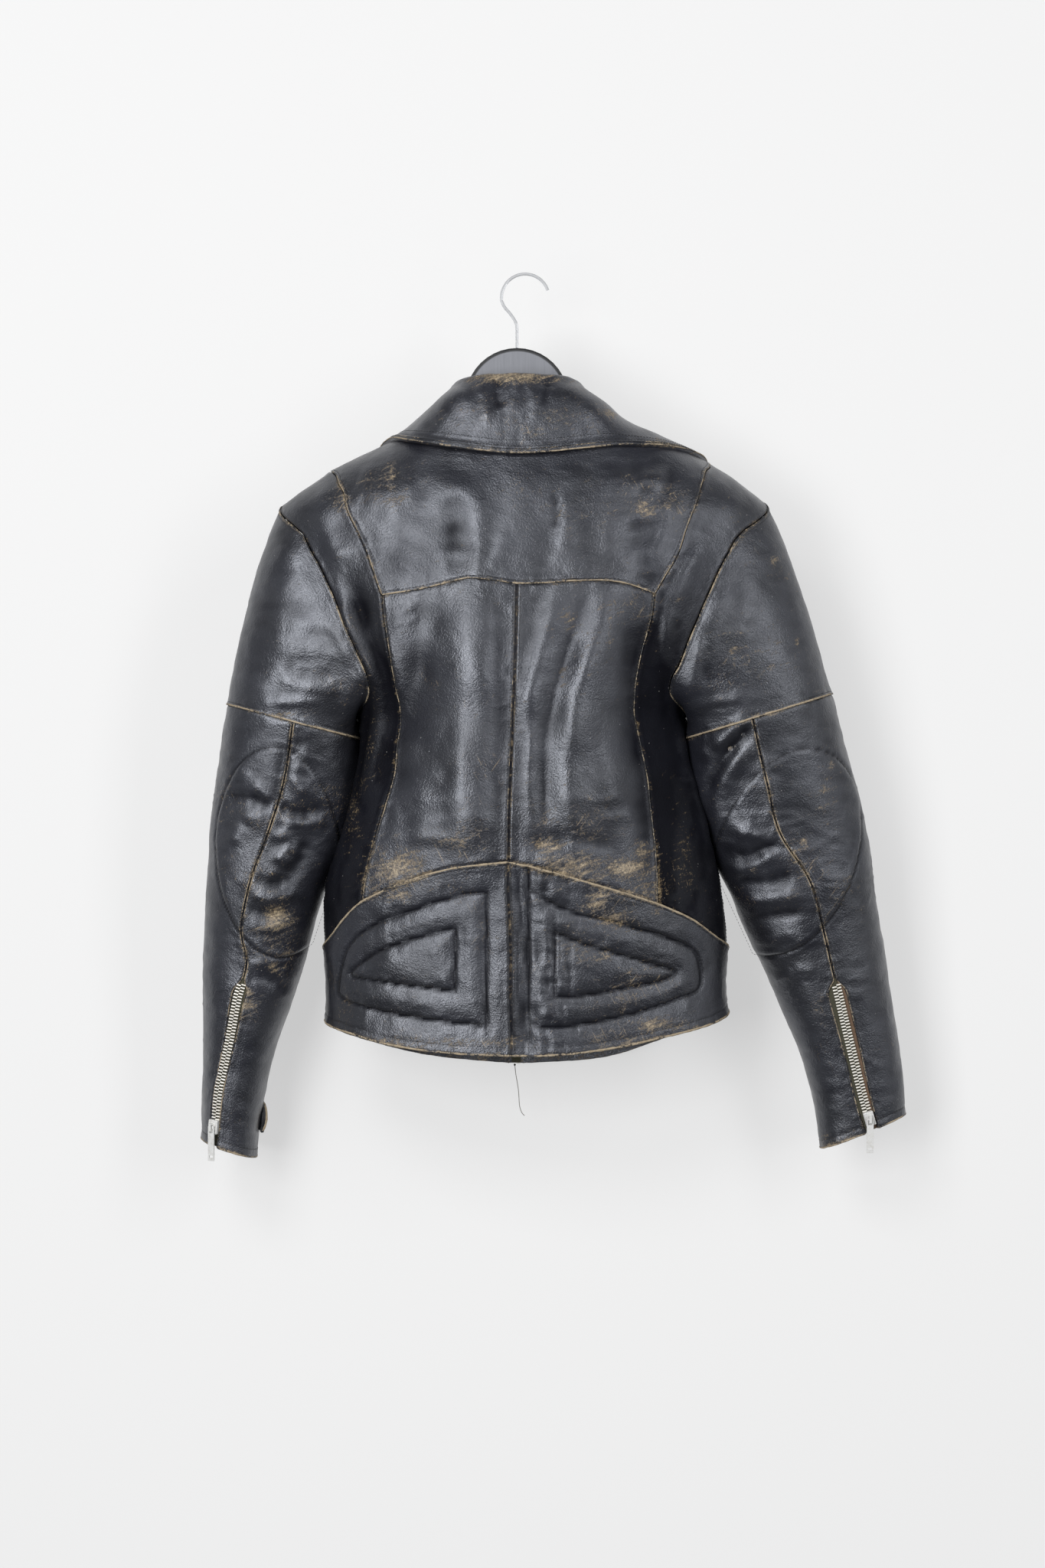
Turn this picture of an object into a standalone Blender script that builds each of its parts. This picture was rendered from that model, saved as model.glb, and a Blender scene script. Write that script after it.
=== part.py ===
"""A worn black leather jacket that hangs on a painted wooden hanger.

The jacket's front faces -Y, its back faces +Y, and +X is the wearer's left. The origin is the
underside of the hook's bend, where the hanger rests on a nail or a rail.

The tables are in millimetres, measured from the hanger's own middle plane; every mesh is scaled
to metres and moved by HANG_OFFSET as it is made. All leather panels are cut from one surface:
its points and normals are worked out once, so that neighbours meet along their seams.
"""

import math

import bmesh
import bpy
import numpy as np
from mathutils import Matrix, Vector

# Driving dimensions, in metres
MM = 0.001
LEATHER = 0.0020          # leather with what backs it
KIDNEY_PAD = 0.0050       # the quilted panel above the back hem
COLLAR_WALL = 0.0030
SEAM_GAP = 0.0003
HANG_OFFSET = 0.008       # the hook's bend lies beside the hanger's middle plane
HOOK_WIRE = 0.0032
HOOK_RADIUS = 0.02325
HEAD_RADIUS = 0.0506
HANGER_THICKNESS = 0.012
HANGER_EDGE = 0.0015       # rounding of the wood's edges
CHAIN_WIDTH = 0.009       # zip chain between its two turned edges
TAB_LENGTH = 0.034
TAB_WIDTH = 0.0067
TAB_THICKNESS = 0.0012

SQUARENESS = 2.3          # 2 is an ellipse; more is squarer
SHARP_SEAM = 0.8          # below this share two panels' walls each keep their own normal
LEFT, RIGHT = 1, -1

# Horizontal sections of the body: height, its two sides, and its depth behind and in front.
# Above the shoulder tips the sides are the shoulder line. Between the tips and the underarm
# the armholes cut the sides away.
SECTIONS = (
    # z, left, right, back, front
    (-137, 77, -80, 48, 45),
    (-150, 98, -114, 57, 52),
    (-165, 126, -150, 63, 58),
    (-190, 177, -195, 72, 66),
    (-208, 205, -223, 79, 72),
    (-226, 228, -244, 84, 76),
    (-262, 232, -247, 90, 82),
    (-300, 222, -236, 95, 87),
    (-340, 204, -219, 98, 91),
    (-380, 180, -194, 100, 95),
    (-410, 161, -173, 101, 97),
    (-430, 153, -164, 101, 98),
    (-460, 154, -166, 101, 98),
    (-508, 164, -178, 100, 97),
    (-560, 178, -192, 98, 95),
    (-592, 186, -199, 96, 93),
    (-620, 188, -203, 94, 91),
    (-650, 188, -205, 92, 88),
    (-700, 186, -203, 90, 84),
    (-740, 186, -207, 88, 80),
    (-790, 187, -208, 86, 76),
)
SHOULDER_TIP_Z = {LEFT: -226, RIGHT: -222}
YOKE_TOP_Z = {LEFT: -191, RIGHT: -184}
NECK_SIDE_Z = -137
NECK_BACK_Z = -147
NECK_FRONT_Z = -214
NECK_EASE = 4             # more lets the neck seam stay high for longer
UNDERARM_Z = -430

# Seams on the back, from the top down or from left to right: x, z
ARMHOLE_TOP = {
    LEFT: ((212, -252), (196, -278), (182, -306), (173, -326)),
    RIGHT: ((-218, -255), (-201, -281), (-188, -308), (-179, -328)),
}
ARMHOLE_LOW = {
    LEFT: ((173, -326), (161, -351), (149, -376), (141, -395), (143, -414)),
    RIGHT: ((-179, -328), (-166, -358), (-157, -383), (-151, -398), (-153, -414)),
}
YOKE_SIDE = {
    LEFT: ((165, -222), (148, -268), (129, -317)),
    RIGHT: ((-161, -237), (-144, -280), (-132, -316)),
}
YOKE_HEM = {
    LEFT: ((129, -317), (100, -313), (71, -307), (48, -302), (28, -303), (0, -307)),
    RIGHT: ((0, -307), (-30, -306), (-59, -304), (-88, -304), (-111, -308), (-132, -316)),
}
BACK_SIDE = {
    LEFT: ((129, -317), (122, -372), (117, -440), (122, -496), (135, -547), (149, -611)),
    RIGHT: ((-132, -316), (-121, -382), (-122, -454), (-131, -516), (-136, -577), (-136, -613)),
}
CENTRE_BACK = ((0, -307), (3, -414), (7, -516), (8, -572))
KIDNEY_CENTRE = ((8, -572), (6, -680), (5, -758))
KIDNEY_TOP_SIDE = {
    LEFT: ((188, -659), (180, -647), (157, -618), (149, -611)),
    RIGHT: ((-136, -613), (-166, -627), (-192, -646), (-203, -658)),
}
KIDNEY_TOP = {
    LEFT: ((149, -611), (111, -593), (61, -578), (8, -572)),
    RIGHT: ((8, -572), (-28, -580), (-66, -591), (-136, -613)),
}
HEM_BACK = {
    LEFT: ((187, -729), (162, -738), (124, -748), (70, -755), (5, -758)),
    RIGHT: ((5, -758), (-40, -757), (-91, -751), (-150, -739), (-207, -719)),
}
HEM_FRONT = {
    LEFT: ((187, -729), (150, -752), (90, -768)),
    RIGHT: ((-90, -770), (-155, -748), (-207, -719)),
}

# Soft folds in the body: which face, their two ends, their width and their height outwards
BODY_FOLDS = (
    # face, x0, z0, x1, z1, width, height
    ("back", 150, -400, 162, -540, 13, 7),
    ("back", -155, -400, -182, -560, 13, 7),
    ("back", 132, -398, 128, -500, 9, -4),
    ("back", -136, -390, -146, -520, 9, -5),
    ("back", 42, -318, 40, -560, 16, 4),
    ("back", 64, -315, 118, -480, 13, -5),
    ("back", -28, -320, -6, -430, 14, 3),
    ("back", -82, -320, -42, -470, 17, 4),
    ("back", -112, -330, -76, -430, 14, -5),
    ("back", 58, -220, 46, -268, 15, 3),
    ("back", 84, -250, 66, -300, 13, -4),
    ("back", -128, -220, -108, -270, 15, -4),
    ("back", -38, -600, -120, -560, 15, -3),
    ("side", 154, -466, 172, -556, 34, -13),
    ("side", -166, -466, -186, -560, 34, -13),
    ("front", 60, -260, 96, -420, 20, 4),
    ("front", -70, -270, -92, -430, 20, 4),
    ("front", 110, -430, 60, -600, 18, -4),
    ("front", -116, -430, -56, -590, 18, -4),
    ("front", 90, -600, 110, -740, 20, 4),
    ("front", -96, -590, -120, -740, 20, 4),
)

# Sleeve rings from the cross seam to the cuff: the outer and inner edge, the middle's place in
# depth, half the depth, and where the elbow seam lies between the outer and the inner edge
SLEEVE_RINGS = {
    LEFT: (
        # outer x, outer z, inner x, inner z, middle y, half depth, seam
        (284, -420, 156, -454, -2, 56, 0.52),
        (294, -487, 160, -503, -10, 54, 0.49),
        (301, -537, 172, -553, -16, 52, 0.45),
        (305, -585, 188, -600, -20, 51, 0.40),
        (308, -635, 203, -648, -26, 49, 0.38),
        (310, -668, 211, -680, -29, 47, 0.47),
        (310, -705, 222, -712, -32, 46, 0.42),
        (310, -750, 238, -757, -36, 44, 0.39),
        (312, -796, 250, -806, -40, 43, 0.32),
        (313, -848, 259, -867, -44, 42, 0.28),
    ),
    RIGHT: (
        (-308, -410, -167, -454, -2, 58, 0.56),
        (-329, -487, -173, -503, -10, 56, 0.54),
        (-342, -537, -185, -553, -16, 54, 0.54),
        (-350, -585, -208, -602, -20, 52, 0.46),
        (-357, -632, -230, -652, -26, 49, 0.46),
        (-363, -666, -246, -685, -29, 46, 0.48),
        (-368, -700, -260, -718, -31, 43, 0.49),
        (-376, -748, -280, -766, -34, 38, 0.51),
        (-382, -792, -293, -812, -36, 34, 0.49),
        (-384, -824, -301, -858, -38, 31, 0.42),
    ),
}
SLEEVE_FOLDS = {
    LEFT: (
        # face, x0, z0, x1, z1, width, height
        ("back", 216, -300, 208, -410, 16, 5),
        ("back", 242, -300, 240, -400, 12, -3),
        ("back", 268, -478, 232, -492, 12, 5),
        ("back", 215, -480, 178, -520, 12, 4),
        ("back", 262, -548, 212, -566, 12, 5),
        ("back", 250, -585, 200, -600, 9, -5),
        ("back", 290, -612, 232, -622, 9, 4),
        ("back", 296, -640, 246, -636, 8, -3),
        ("front", 290, -560, 230, -590, 14, -4),
    ),
    RIGHT: (
        ("back", -205, -345, -212, -400, 14, 4),
        ("back", -236, -330, -244, -400, 12, -3),
        ("back", -214, -430, -176, -478, 12, 5),
        ("back", -246, -446, -204, -510, 11, -4),
        ("back", -216, -488, -196, -530, 11, 4),
        ("back", -262, -560, -212, -582, 11, 4),
        ("back", -282, -600, -226, -612, 9, -4),
        ("back", -318, -612, -254, -634, 10, 4),
        ("front", -320, -560, -250, -590, 14, -4),
    ),
}
ZIP_START_ROW = 9         # first of the sleeve's rows that the cuff zip opens

# Collar: where it leaves the neck seam, its roll line, the middle of its fall and its outer edge
COLLAR = (
    # neck angle, roll x, y, z, fall x, y, z, edge x, y, z
    (-80, 17, -60, -196, 44, -78, -226, 66, -84, -262),
    (-52, 46, -47, -156, 82, -71, -188, 108, -76, -236),
    (-24, 61, -22, -122, 98, -42, -148, 130, -44, -190),
    (8, 61, 8, -109, 95, 6, -133, 132, 4, -167),
    (45, 47, 37, -104, 72, 52, -129, 102, 54, -168),
    (90, 0, 49, -102, 0, 66, -136, 0, 74, -181),
    (135, -47, 38, -103, -74, 54, -131, -106, 58, -176),
    (172, -62, 8, -108, -104, 8, -139, -164, 10, -181),
    (204, -62, -22, -122, -108, -42, -154, -156, -46, -203),
    (232, -47, -47, -156, -84, -71, -190, -118, -78, -244),
    (260, -17, -60, -196, -44, -78, -228, -66, -84, -264),
)
COLLAR_COLUMNS = 26
COLLAR_FINE = 6           # points laid out between two lines of the table
COLLAR_ROW_STEP = 3       # every third of them is kept as a row
FIRST_FALL_POINT = 19     # the points from here on hang outside the body
NECK_TUCK, NECK_LIFT = 2.4, 3.8     # the stand starts inside the neck seam and above it
ROLL_HALF, ROLL_DROP = 4.5, 6.0     # half the roll's width, and how far its two sides drop
COLLAR_GAP = {"back": 4.2, "front": 9.0}
SLOPING_SHOULDER = 1.5    # how much further out the collar clears the shoulder line
NECK_MARGIN = 1.8         # gaps above the neck seam below which the collar must clear it

MATERIALS = {
    # name: (base colour, roughness, metallic)
    "leather": ((0.022, 0.024, 0.030, 1), 0.42, 0.0),
    "zip_tape": ((0.02, 0.02, 0.022, 1), 0.8, 0.0),
    "zip_metal": ((0.62, 0.61, 0.58, 1), 0.3, 1.0),
    "hanger_wood": ((0.055, 0.065, 0.085, 1), 0.45, 0.0),
    "hook_metal": ((0.65, 0.66, 0.68, 1), 0.2, 1.0),
    "thread": ((0.09, 0.085, 0.08, 1), 0.9, 0.0),
}


def clear_scene():
    for thing in list(bpy.data.objects):
        bpy.data.objects.remove(thing, do_unlink=True)


def material(name):
    found = bpy.data.materials.get(name)
    if found:
        return found
    colour, roughness, metallic = MATERIALS[name]
    made = bpy.data.materials.new(name)
    made.use_nodes = True
    shader = made.node_tree.nodes["Principled BSDF"]
    shader.inputs["Base Color"].default_value = colour
    shader.inputs["Roughness"].default_value = roughness
    shader.inputs["Metallic"].default_value = metallic
    made.diffuse_color = colour
    return made


def own_material(node, base):
    """Each piece keeps its own copy of the finish that it is made of."""
    made = material(base).copy()
    made.name = node
    return made


def add_object(node, mesh, base, collection):
    piece = bpy.data.objects.new(node, mesh)
    mesh.materials.append(own_material(node, base))
    mesh.shade_smooth()
    mesh.set_sharp_from_angle(angle=math.radians(40))
    collection.objects.link(piece)
    return piece


def to_frame(points):
    """Table millimetres from the hanger's middle plane, as metres from the origin."""
    return np.asarray(points, float) * MM + np.array([HANG_OFFSET, 0.0, 0.0])


# ---------- curves and tables ----------

def interpolate(rows, at):
    """Read a table smoothly at a value of its first column."""
    rows = sorted(rows)
    keys = np.array([row[0] for row in rows], float)
    values = np.array([row[1:] for row in rows], float)
    slopes = np.gradient(values, keys, axis=0)
    at = min(max(at, keys[0]), keys[-1])
    i = min(max(int(np.searchsorted(keys, at)) - 1, 0), len(keys) - 2)
    span = keys[i + 1] - keys[i]
    t = (at - keys[i]) / span
    return hermite(values[i], slopes[i] * span, values[i + 1], slopes[i + 1] * span, t)


def hermite(start, start_slope, end, end_slope, t):
    return ((2 * t ** 3 - 3 * t ** 2 + 1) * start + (t ** 3 - 2 * t ** 2 + t) * start_slope
            + (3 * t ** 2 - 2 * t ** 3) * end + (t ** 3 - t ** 2) * end_slope)


def through(points, steps=12):
    """A smooth curve through points, as a dense list."""
    points = np.array(points, float)
    if len(points) == 2:
        return np.linspace(points[0], points[1], steps + 1)
    lengths = np.linalg.norm(np.diff(points, axis=0), axis=1)
    keys = np.concatenate([[0], np.cumsum(np.sqrt(lengths))])
    slopes = np.gradient(points, keys, axis=0)
    dense = [points[0]]
    for i, span in enumerate(np.diff(keys)):
        for t in np.linspace(0, 1, steps + 1)[1:]:
            dense.append(hermite(points[i], slopes[i] * span,
                                 points[i + 1], slopes[i + 1] * span, t))
    return np.array(dense)


def resample(points, segments, place=None):
    """Even steps along a dense curve; place() gives the space where steps are measured."""
    points = np.array(points, float)
    placed = np.array([place(p) for p in points]) if place else points
    run = np.concatenate([[0], np.cumsum(np.linalg.norm(np.diff(placed, axis=0), axis=1))])
    wanted = np.linspace(0, run[-1], segments + 1)
    return np.stack([np.interp(wanted, run, column) for column in points.T], axis=1)


def coons(top, bottom, left, right):
    """Fill a patch between four edges that meet at its corners."""
    s = np.linspace(0, 1, len(top))[None, :, None]
    t = np.linspace(0, 1, len(left))[:, None, None]
    across = (1 - t) * top[None] + t * bottom[None]
    down = (1 - s) * left[:, None] + s * right[:, None]
    corners = (1 - t) * ((1 - s) * top[0] + s * top[-1]) + t * (
        (1 - s) * bottom[0] + s * bottom[-1])
    return across + down - corners


# ---------- the body's surface ----------

def signed_power(value, power):
    return math.copysign(abs(value) ** power, value)


def body_point(angle, z):
    """The body at an angle round it (0 is the left side, 90 the back) and a height."""
    left, right, back, front = interpolate(SECTIONS, z)
    depth = back if math.sin(angle) >= 0 else front
    x = (left + right) / 2 + (left - right) / 2 * signed_power(math.cos(angle), 2 / SQUARENESS)
    y = depth * signed_power(math.sin(angle), 2 / SQUARENESS)
    return np.array([x, y, z])


def body_angle(x, z, face):
    left, right = interpolate(SECTIONS, z)[:2]
    share = (x - (left + right) / 2) / ((left - right) / 2)
    share = min(max(share, -1), 1)
    return face * math.acos(signed_power(share, SQUARENESS / 2))


BACK, FRONT = 1, -1


def side_angle(side, face):
    return 0.0 if side == LEFT else face * math.pi


def on_body(pair):
    return body_point(pair[0], pair[1])


def seam(points, segments, face=BACK, ends=(None, None)):
    """A seam given in x and z, as even steps in angle and height on the body."""
    pairs = [[body_angle(x, z, face), z] for x, z in points]
    for index, angle in zip((0, -1), ends):
        if angle is not None:
            pairs[index][0] = angle
    return resample(through(pairs), segments, on_body)


def upright(angle, z_from, z_to, segments):
    """A line straight down the body's side, or along its shoulder."""
    dense = [(angle, z) for z in np.linspace(z_from, z_to, 40)]
    return resample(dense, segments, on_body)


def fold_height(folds, face, point):
    """How far the folds push a point outwards."""
    height = 0.0
    x, _, z = point
    for name, x0, z0, x1, z1, width, rise in folds:
        if name != face:
            continue
        run = (x1 - x0) ** 2 + (z1 - z0) ** 2
        share = ((x - x0) * (x1 - x0) + (z - z0) * (z1 - z0)) / run
        nearest = min(max(share, 0), 1)
        away = math.hypot(x - x0 - nearest * (x1 - x0), z - z0 - nearest * (z1 - z0))
        height += rise * math.exp(-(away / width) ** 2)
    return height


def body_surface(pair):
    """A point of the body with its folds, in millimetres."""
    angle, z = pair
    point = body_point(angle, z)
    ahead = body_point(angle + 0.01, z) - body_point(angle - 0.01, z)
    outward = np.array([ahead[1], -ahead[0], 0.0])
    outward /= np.linalg.norm(outward)
    facing = math.sin(angle)
    height = fold_height(BODY_FOLDS, "back", point) * max(facing, 0) ** 0.5
    height += fold_height(BODY_FOLDS, "front", point) * max(-facing, 0) ** 0.5
    height += fold_height(BODY_FOLDS, "side", point) * math.exp(-((facing + 0.25) / 0.3) ** 2)
    return point + outward * height


def surface_grid(pairs):
    return np.array([[body_surface(pair) for pair in row] for row in pairs])


# ---------- columns and rows of the body ----------

YOKE_ROWS, CHEST_ROWS, WAIST_ROWS, HEM_ROWS = 5, 5, 6, 5
SIDE_COLUMNS, SHOULDER_COLUMNS, NECK_COLUMNS, FRONT_NECK_COLUMNS = 3, 3, 3, 7
HALF_BACK = SHOULDER_COLUMNS + NECK_COLUMNS
FRONT_ZIP_HALF = CHAIN_WIDTH / MM / 2
FRONT_ZIP_X = 1
FRONT_FOOT_Z = -777       # foot of the front zip
FRONT_MIDDLE_Z = UNDERARM_Z - 10    # where the fronts' upper and lower halves meet at the zip


def from_side(points, side):
    """The tables run from left to right; a half's own columns start at its side."""
    return points if side == LEFT else points[::-1]


def side_back_blocks(side):
    """The side back panel: beside the yoke, below it, and its share of the kidney panel."""
    ends = side_angle(side, BACK)
    tip, top = SHOULDER_TIP_Z[side], YOKE_TOP_Z[side]
    shoulder = upright(ends, tip, top, SIDE_COLUMNS)
    tip_point = (body_point(ends, tip)[0], tip)
    armhole_top = seam((tip_point,) + ARMHOLE_TOP[side], YOKE_ROWS, BACK, (ends, None))
    low_end = (body_point(ends, UNDERARM_Z)[0], UNDERARM_Z)
    armhole_low = seam(ARMHOLE_LOW[side] + (low_end,), CHEST_ROWS, BACK, (None, ends))
    yoke_side = yoke_side_edge(side)
    across = seam((ARMHOLE_TOP[side][-1], YOKE_SIDE[side][-1]), SIDE_COLUMNS)
    upper = coons(shoulder, across, armhole_top, yoke_side)
    back_edge = back_side_edge(side)
    kidney = kidney_side_edge(side)
    side_seam = upright(ends, UNDERARM_Z, kidney[0][1], WAIST_ROWS)
    lower_left = np.concatenate([armhole_low, side_seam[1:]])
    lower = coons(across, kidney, lower_left, back_edge)
    return upper, lower


def yoke_side_edge(side):
    ends = side_angle(side, BACK)
    start = (body_point(ends, YOKE_TOP_Z[side])[0], YOKE_TOP_Z[side])
    return seam((start,) + YOKE_SIDE[side], YOKE_ROWS, BACK, (ends, None))


def back_side_edge(side):
    return seam(BACK_SIDE[side], CHEST_ROWS + WAIST_ROWS)


def kidney_side_edge(side):
    """The kidney panel's top from the side seam to the back panel's seam."""
    ends = side_angle(side, BACK)
    return seam(from_side(KIDNEY_TOP_SIDE[side], side), SIDE_COLUMNS, BACK, (ends, None))


def neck_height(middle_z, turn):
    """The neck seam's height at a turn from the side of the neck to a middle."""
    return NECK_SIDE_Z + (middle_z - NECK_SIDE_Z) * abs(math.sin(turn)) ** NECK_EASE


def neck_edge(side, face, columns, end_angle, end_z):
    """The neck seam from the side of the neck to the middle of the back or front."""
    start = side_angle(side, face)
    pairs = [(start + (end_angle - start) * t, neck_height(end_z, t * math.pi / 2))
             for t in np.linspace(0, 1, 40)]
    return resample(pairs, columns, on_body)


def yoke_half(side):
    """Half the yoke, its columns from the side to the middle."""
    ends = side_angle(side, BACK)
    shoulder = upright(ends, YOKE_TOP_Z[side], NECK_SIDE_Z, SHOULDER_COLUMNS)
    neck = neck_edge(side, BACK, NECK_COLUMNS, math.pi / 2, NECK_BACK_Z)
    top = np.concatenate([shoulder, neck[1:]])
    hem = seam(from_side(YOKE_HEM[side], side), HALF_BACK)
    middle = np.linspace(top[-1], hem[-1], YOKE_ROWS + 1)
    return coons(top, hem, yoke_side_edge(side), middle)


def back_half(side):
    hem = seam(from_side(YOKE_HEM[side], side), HALF_BACK)
    low = seam(from_side(KIDNEY_TOP[side], side), HALF_BACK)
    middle = seam(CENTRE_BACK, CHEST_ROWS + WAIST_ROWS)
    return coons(hem, low, back_side_edge(side), middle)


def kidney_half(side):
    """The kidney panel from the side seam to its middle seam."""
    ends = side_angle(side, BACK)
    columns = SIDE_COLUMNS + HALF_BACK
    inner = seam(from_side(KIDNEY_TOP[side], side), HALF_BACK)
    top = np.concatenate([kidney_side_edge(side), inner[1:]])
    hem = seam(from_side(HEM_BACK[side], side), columns, BACK, (ends, None))
    side_edge = upright(ends, top[0][1], hem[0][1], HEM_ROWS)
    return coons(top, hem, side_edge, seam(KIDNEY_CENTRE, HEM_ROWS))


def front_half(side):
    """A front from the armhole and side seam to the zip; rows as on the back."""
    ends = side_angle(side, FRONT)
    tip, top_z = SHOULDER_TIP_Z[side], YOKE_TOP_Z[side]
    zip_x = FRONT_ZIP_X + side * FRONT_ZIP_HALF
    neck_end = body_angle(zip_x, NECK_FRONT_Z, FRONT)
    top = np.concatenate([
        upright(ends, tip, top_z, SIDE_COLUMNS),
        upright(ends, top_z, NECK_SIDE_Z, SHOULDER_COLUMNS)[1:],
        neck_edge(side, FRONT, FRONT_NECK_COLUMNS, neck_end, NECK_FRONT_Z)[1:]])
    columns = len(top) - 1
    tip_point = (body_point(ends, tip)[0], tip)
    low_end = (body_point(ends, UNDERARM_Z)[0], UNDERARM_Z)
    armhole = np.concatenate([
        seam((tip_point,) + ARMHOLE_TOP[side], YOKE_ROWS, FRONT, (ends, None)),
        seam(ARMHOLE_LOW[side] + (low_end,), CHEST_ROWS, FRONT, (None, ends))[1:]])
    zip_upper = seam(((zip_x, NECK_FRONT_Z), (zip_x, FRONT_MIDDLE_Z)),
                     YOKE_ROWS + CHEST_ROWS, FRONT)
    across = seam((low_end, (zip_x, FRONT_MIDDLE_Z)), columns, FRONT, (ends, None))
    upper = coons(top, across, armhole, zip_upper)
    kidney_z = kidney_side_edge(side)[0][1]
    hem_points = from_side(HEM_FRONT[side], side) + ((zip_x, FRONT_FOOT_Z),)
    hem = seam(hem_points, columns, FRONT, (ends, None))
    side_edge = np.concatenate([
        upright(ends, UNDERARM_Z, kidney_z, WAIST_ROWS),
        upright(ends, kidney_z, hem[0][1], HEM_ROWS)[1:]])
    zip_lower = seam(((zip_x, FRONT_MIDDLE_Z), (zip_x, FRONT_FOOT_Z)),
                     WAIST_ROWS + HEM_ROWS, FRONT)
    lower = coons(across, hem, side_edge, zip_lower)
    return np.concatenate([upper, lower[1:]])


def front_zip_strip(left_front, right_front):
    """The chain between the two fronts' edges, in the same surface."""
    left_edge, right_edge = left_front[:, -1], right_front[:, -1]
    return np.stack([left_edge, (left_edge + right_edge) / 2, right_edge], axis=1)


# ---------- sleeves ----------

UPPER_ROWS, LOWER_ROWS = 6, 15
RING = 20
QUARTER = RING // 4
ZIP_TIP = 1.5             # half the opening's width at its upper tip
SLEEVE_REACH = 0.6        # how far a sleeve keeps the direction in which it leaves the armhole


def ring_at(side, share):
    rings = SLEEVE_RINGS[side]
    keyed = [(index,) + row for index, row in enumerate(rings)]
    return interpolate(keyed, share * (len(rings) - 1))


def zip_half_width(row):
    """Half the opening between the sleeve's two pieces: nothing, a tip, then the chain."""
    if row < ZIP_START_ROW:
        return 0.0
    return ZIP_TIP if row == ZIP_START_ROW else CHAIN_WIDTH / MM / 2


def ring_points(side, share, opening):
    """Columns round the sleeve: 0 outer edge, 5 elbow seam, 10 underarm, 15 front seam."""
    xo, zo, xi, zi, middle_y, depth, seam_share = ring_at(side, share)
    middle = np.array([(xo + xi) / 2, middle_y, (zo + zi) / 2])
    across = np.array([(xo - xi) / 2, 0, (zo - zi) / 2])
    seam_turn = math.acos(signed_power(1 - 2 * seam_share, SQUARENESS / 2))
    stops = (0, seam_turn, math.pi, 1.5 * math.pi, 2 * math.pi)
    radius = (np.linalg.norm(across) + depth) / 2
    gap = opening / radius
    points = []
    for column in range(RING):
        stretch, step = divmod(column, QUARTER)
        start, end = stops[stretch], stops[stretch + 1]
        points.append(ring_point(middle, across, depth, start + (end - start) * step / QUARTER))
    edges = [ring_point(middle, across, depth, seam_turn + turn) for turn in (-gap, gap)]
    return np.array(points), np.array(edges)


def ring_point(middle, across, depth, turn):
    c = signed_power(math.cos(turn), 2 / SQUARENESS)
    s = signed_power(math.sin(turn), 2 / SQUARENESS)
    return middle + across * c + np.array([0, depth * s, 0])


def leaving_direction(side, column):
    """Which way the sleeve leaves the armhole at a column of its ring."""
    turn = 2 * math.pi * column / RING
    top, low, middle = max(math.cos(turn), 0), max(-math.cos(turn), 0), abs(math.sin(turn))
    way = (top * np.array([0.45 * side, 0, -0.89]) + low * np.array([0.95 * side, 0, -0.3])
           + middle * np.array([0.92 * side, 0.2 * math.copysign(1, math.sin(turn)), -0.35]))
    return way / np.linalg.norm(way)


def sleeve_folds(side, grid):
    """Push a sleeve's points out by its folds; the armhole itself stays."""
    folded = grid.copy()
    for row in range(1, len(grid)):
        centre = grid[row].mean(axis=0)
        for column in range(RING):
            outward = grid[row, column] - centre
            outward /= np.linalg.norm(outward)
            face = "back" if outward[1] > 0 else "front"
            rise = fold_height(SLEEVE_FOLDS[side], face, grid[row, column])
            folded[row, column] = grid[row, column] + outward * rise * abs(outward[1]) ** 0.5
    return folded


def sleeve_grids(side, armhole):
    """The whole sleeve's rows of rings, and the zip's two edges on each lower row."""
    first, _ = ring_points(side, 0, 0)
    second, _ = ring_points(side, 0.08, 0)
    upper = []
    for row in range(UPPER_ROWS):
        share = row / UPPER_ROWS
        ring = []
        for column in range(RING):
            start, end = armhole[column], first[column]
            reach = SLEEVE_REACH * np.linalg.norm(end - start)
            arriving = second[column] - first[column]
            arriving /= np.linalg.norm(arriving)
            ring.append(hermite(start, leaving_direction(side, column) * reach,
                                end, arriving * reach, share))
        upper.append(ring)
    lower, edges = [], []
    for row in range(LOWER_ROWS + 1):
        ring, pair = ring_points(side, row / LOWER_ROWS, zip_half_width(row))
        lower.append(ring)
        edges.append(pair)
    grid = sleeve_folds(side, np.array(upper + lower))
    return grid, np.array(edges)


# ---------- from grids to leather ----------

class Surface:
    """All the grids of the garment; where they share points they share normals."""

    def __init__(self):
        self.sums = {}

    @staticmethod
    def key(point):
        return tuple(np.round(point, 3))

    def add(self, grid, sign, wrap=False, group="body"):
        rows, columns = grid.shape[:2]
        for i in range(rows - 1):
            for j in range(columns if wrap else columns - 1):
                k = (j + 1) % columns
                corners = (grid[i, j], grid[i, k], grid[i + 1, k], grid[i + 1, j])
                normal = sign * np.cross(corners[1] - corners[3], corners[2] - corners[0])
                for corner in corners:
                    groups = self.sums.setdefault(self.key(corner), {})
                    groups[group] = groups.get(group, 0) + normal

    def normals(self, grid, group="body"):
        return np.array([[self.normal(point, group) for point in row] for row in grid])

    def normal(self, point, group):
        """The shared normal, or the group's own where a seam turns back on itself."""
        units = {name: total / np.linalg.norm(total)
                 for name, total in self.sums[self.key(point)].items()}
        shared = sum(units.values())
        if np.linalg.norm(shared) < SHARP_SEAM * len(units):
            shared = units[group]
        return shared / np.linalg.norm(shared)


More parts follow.
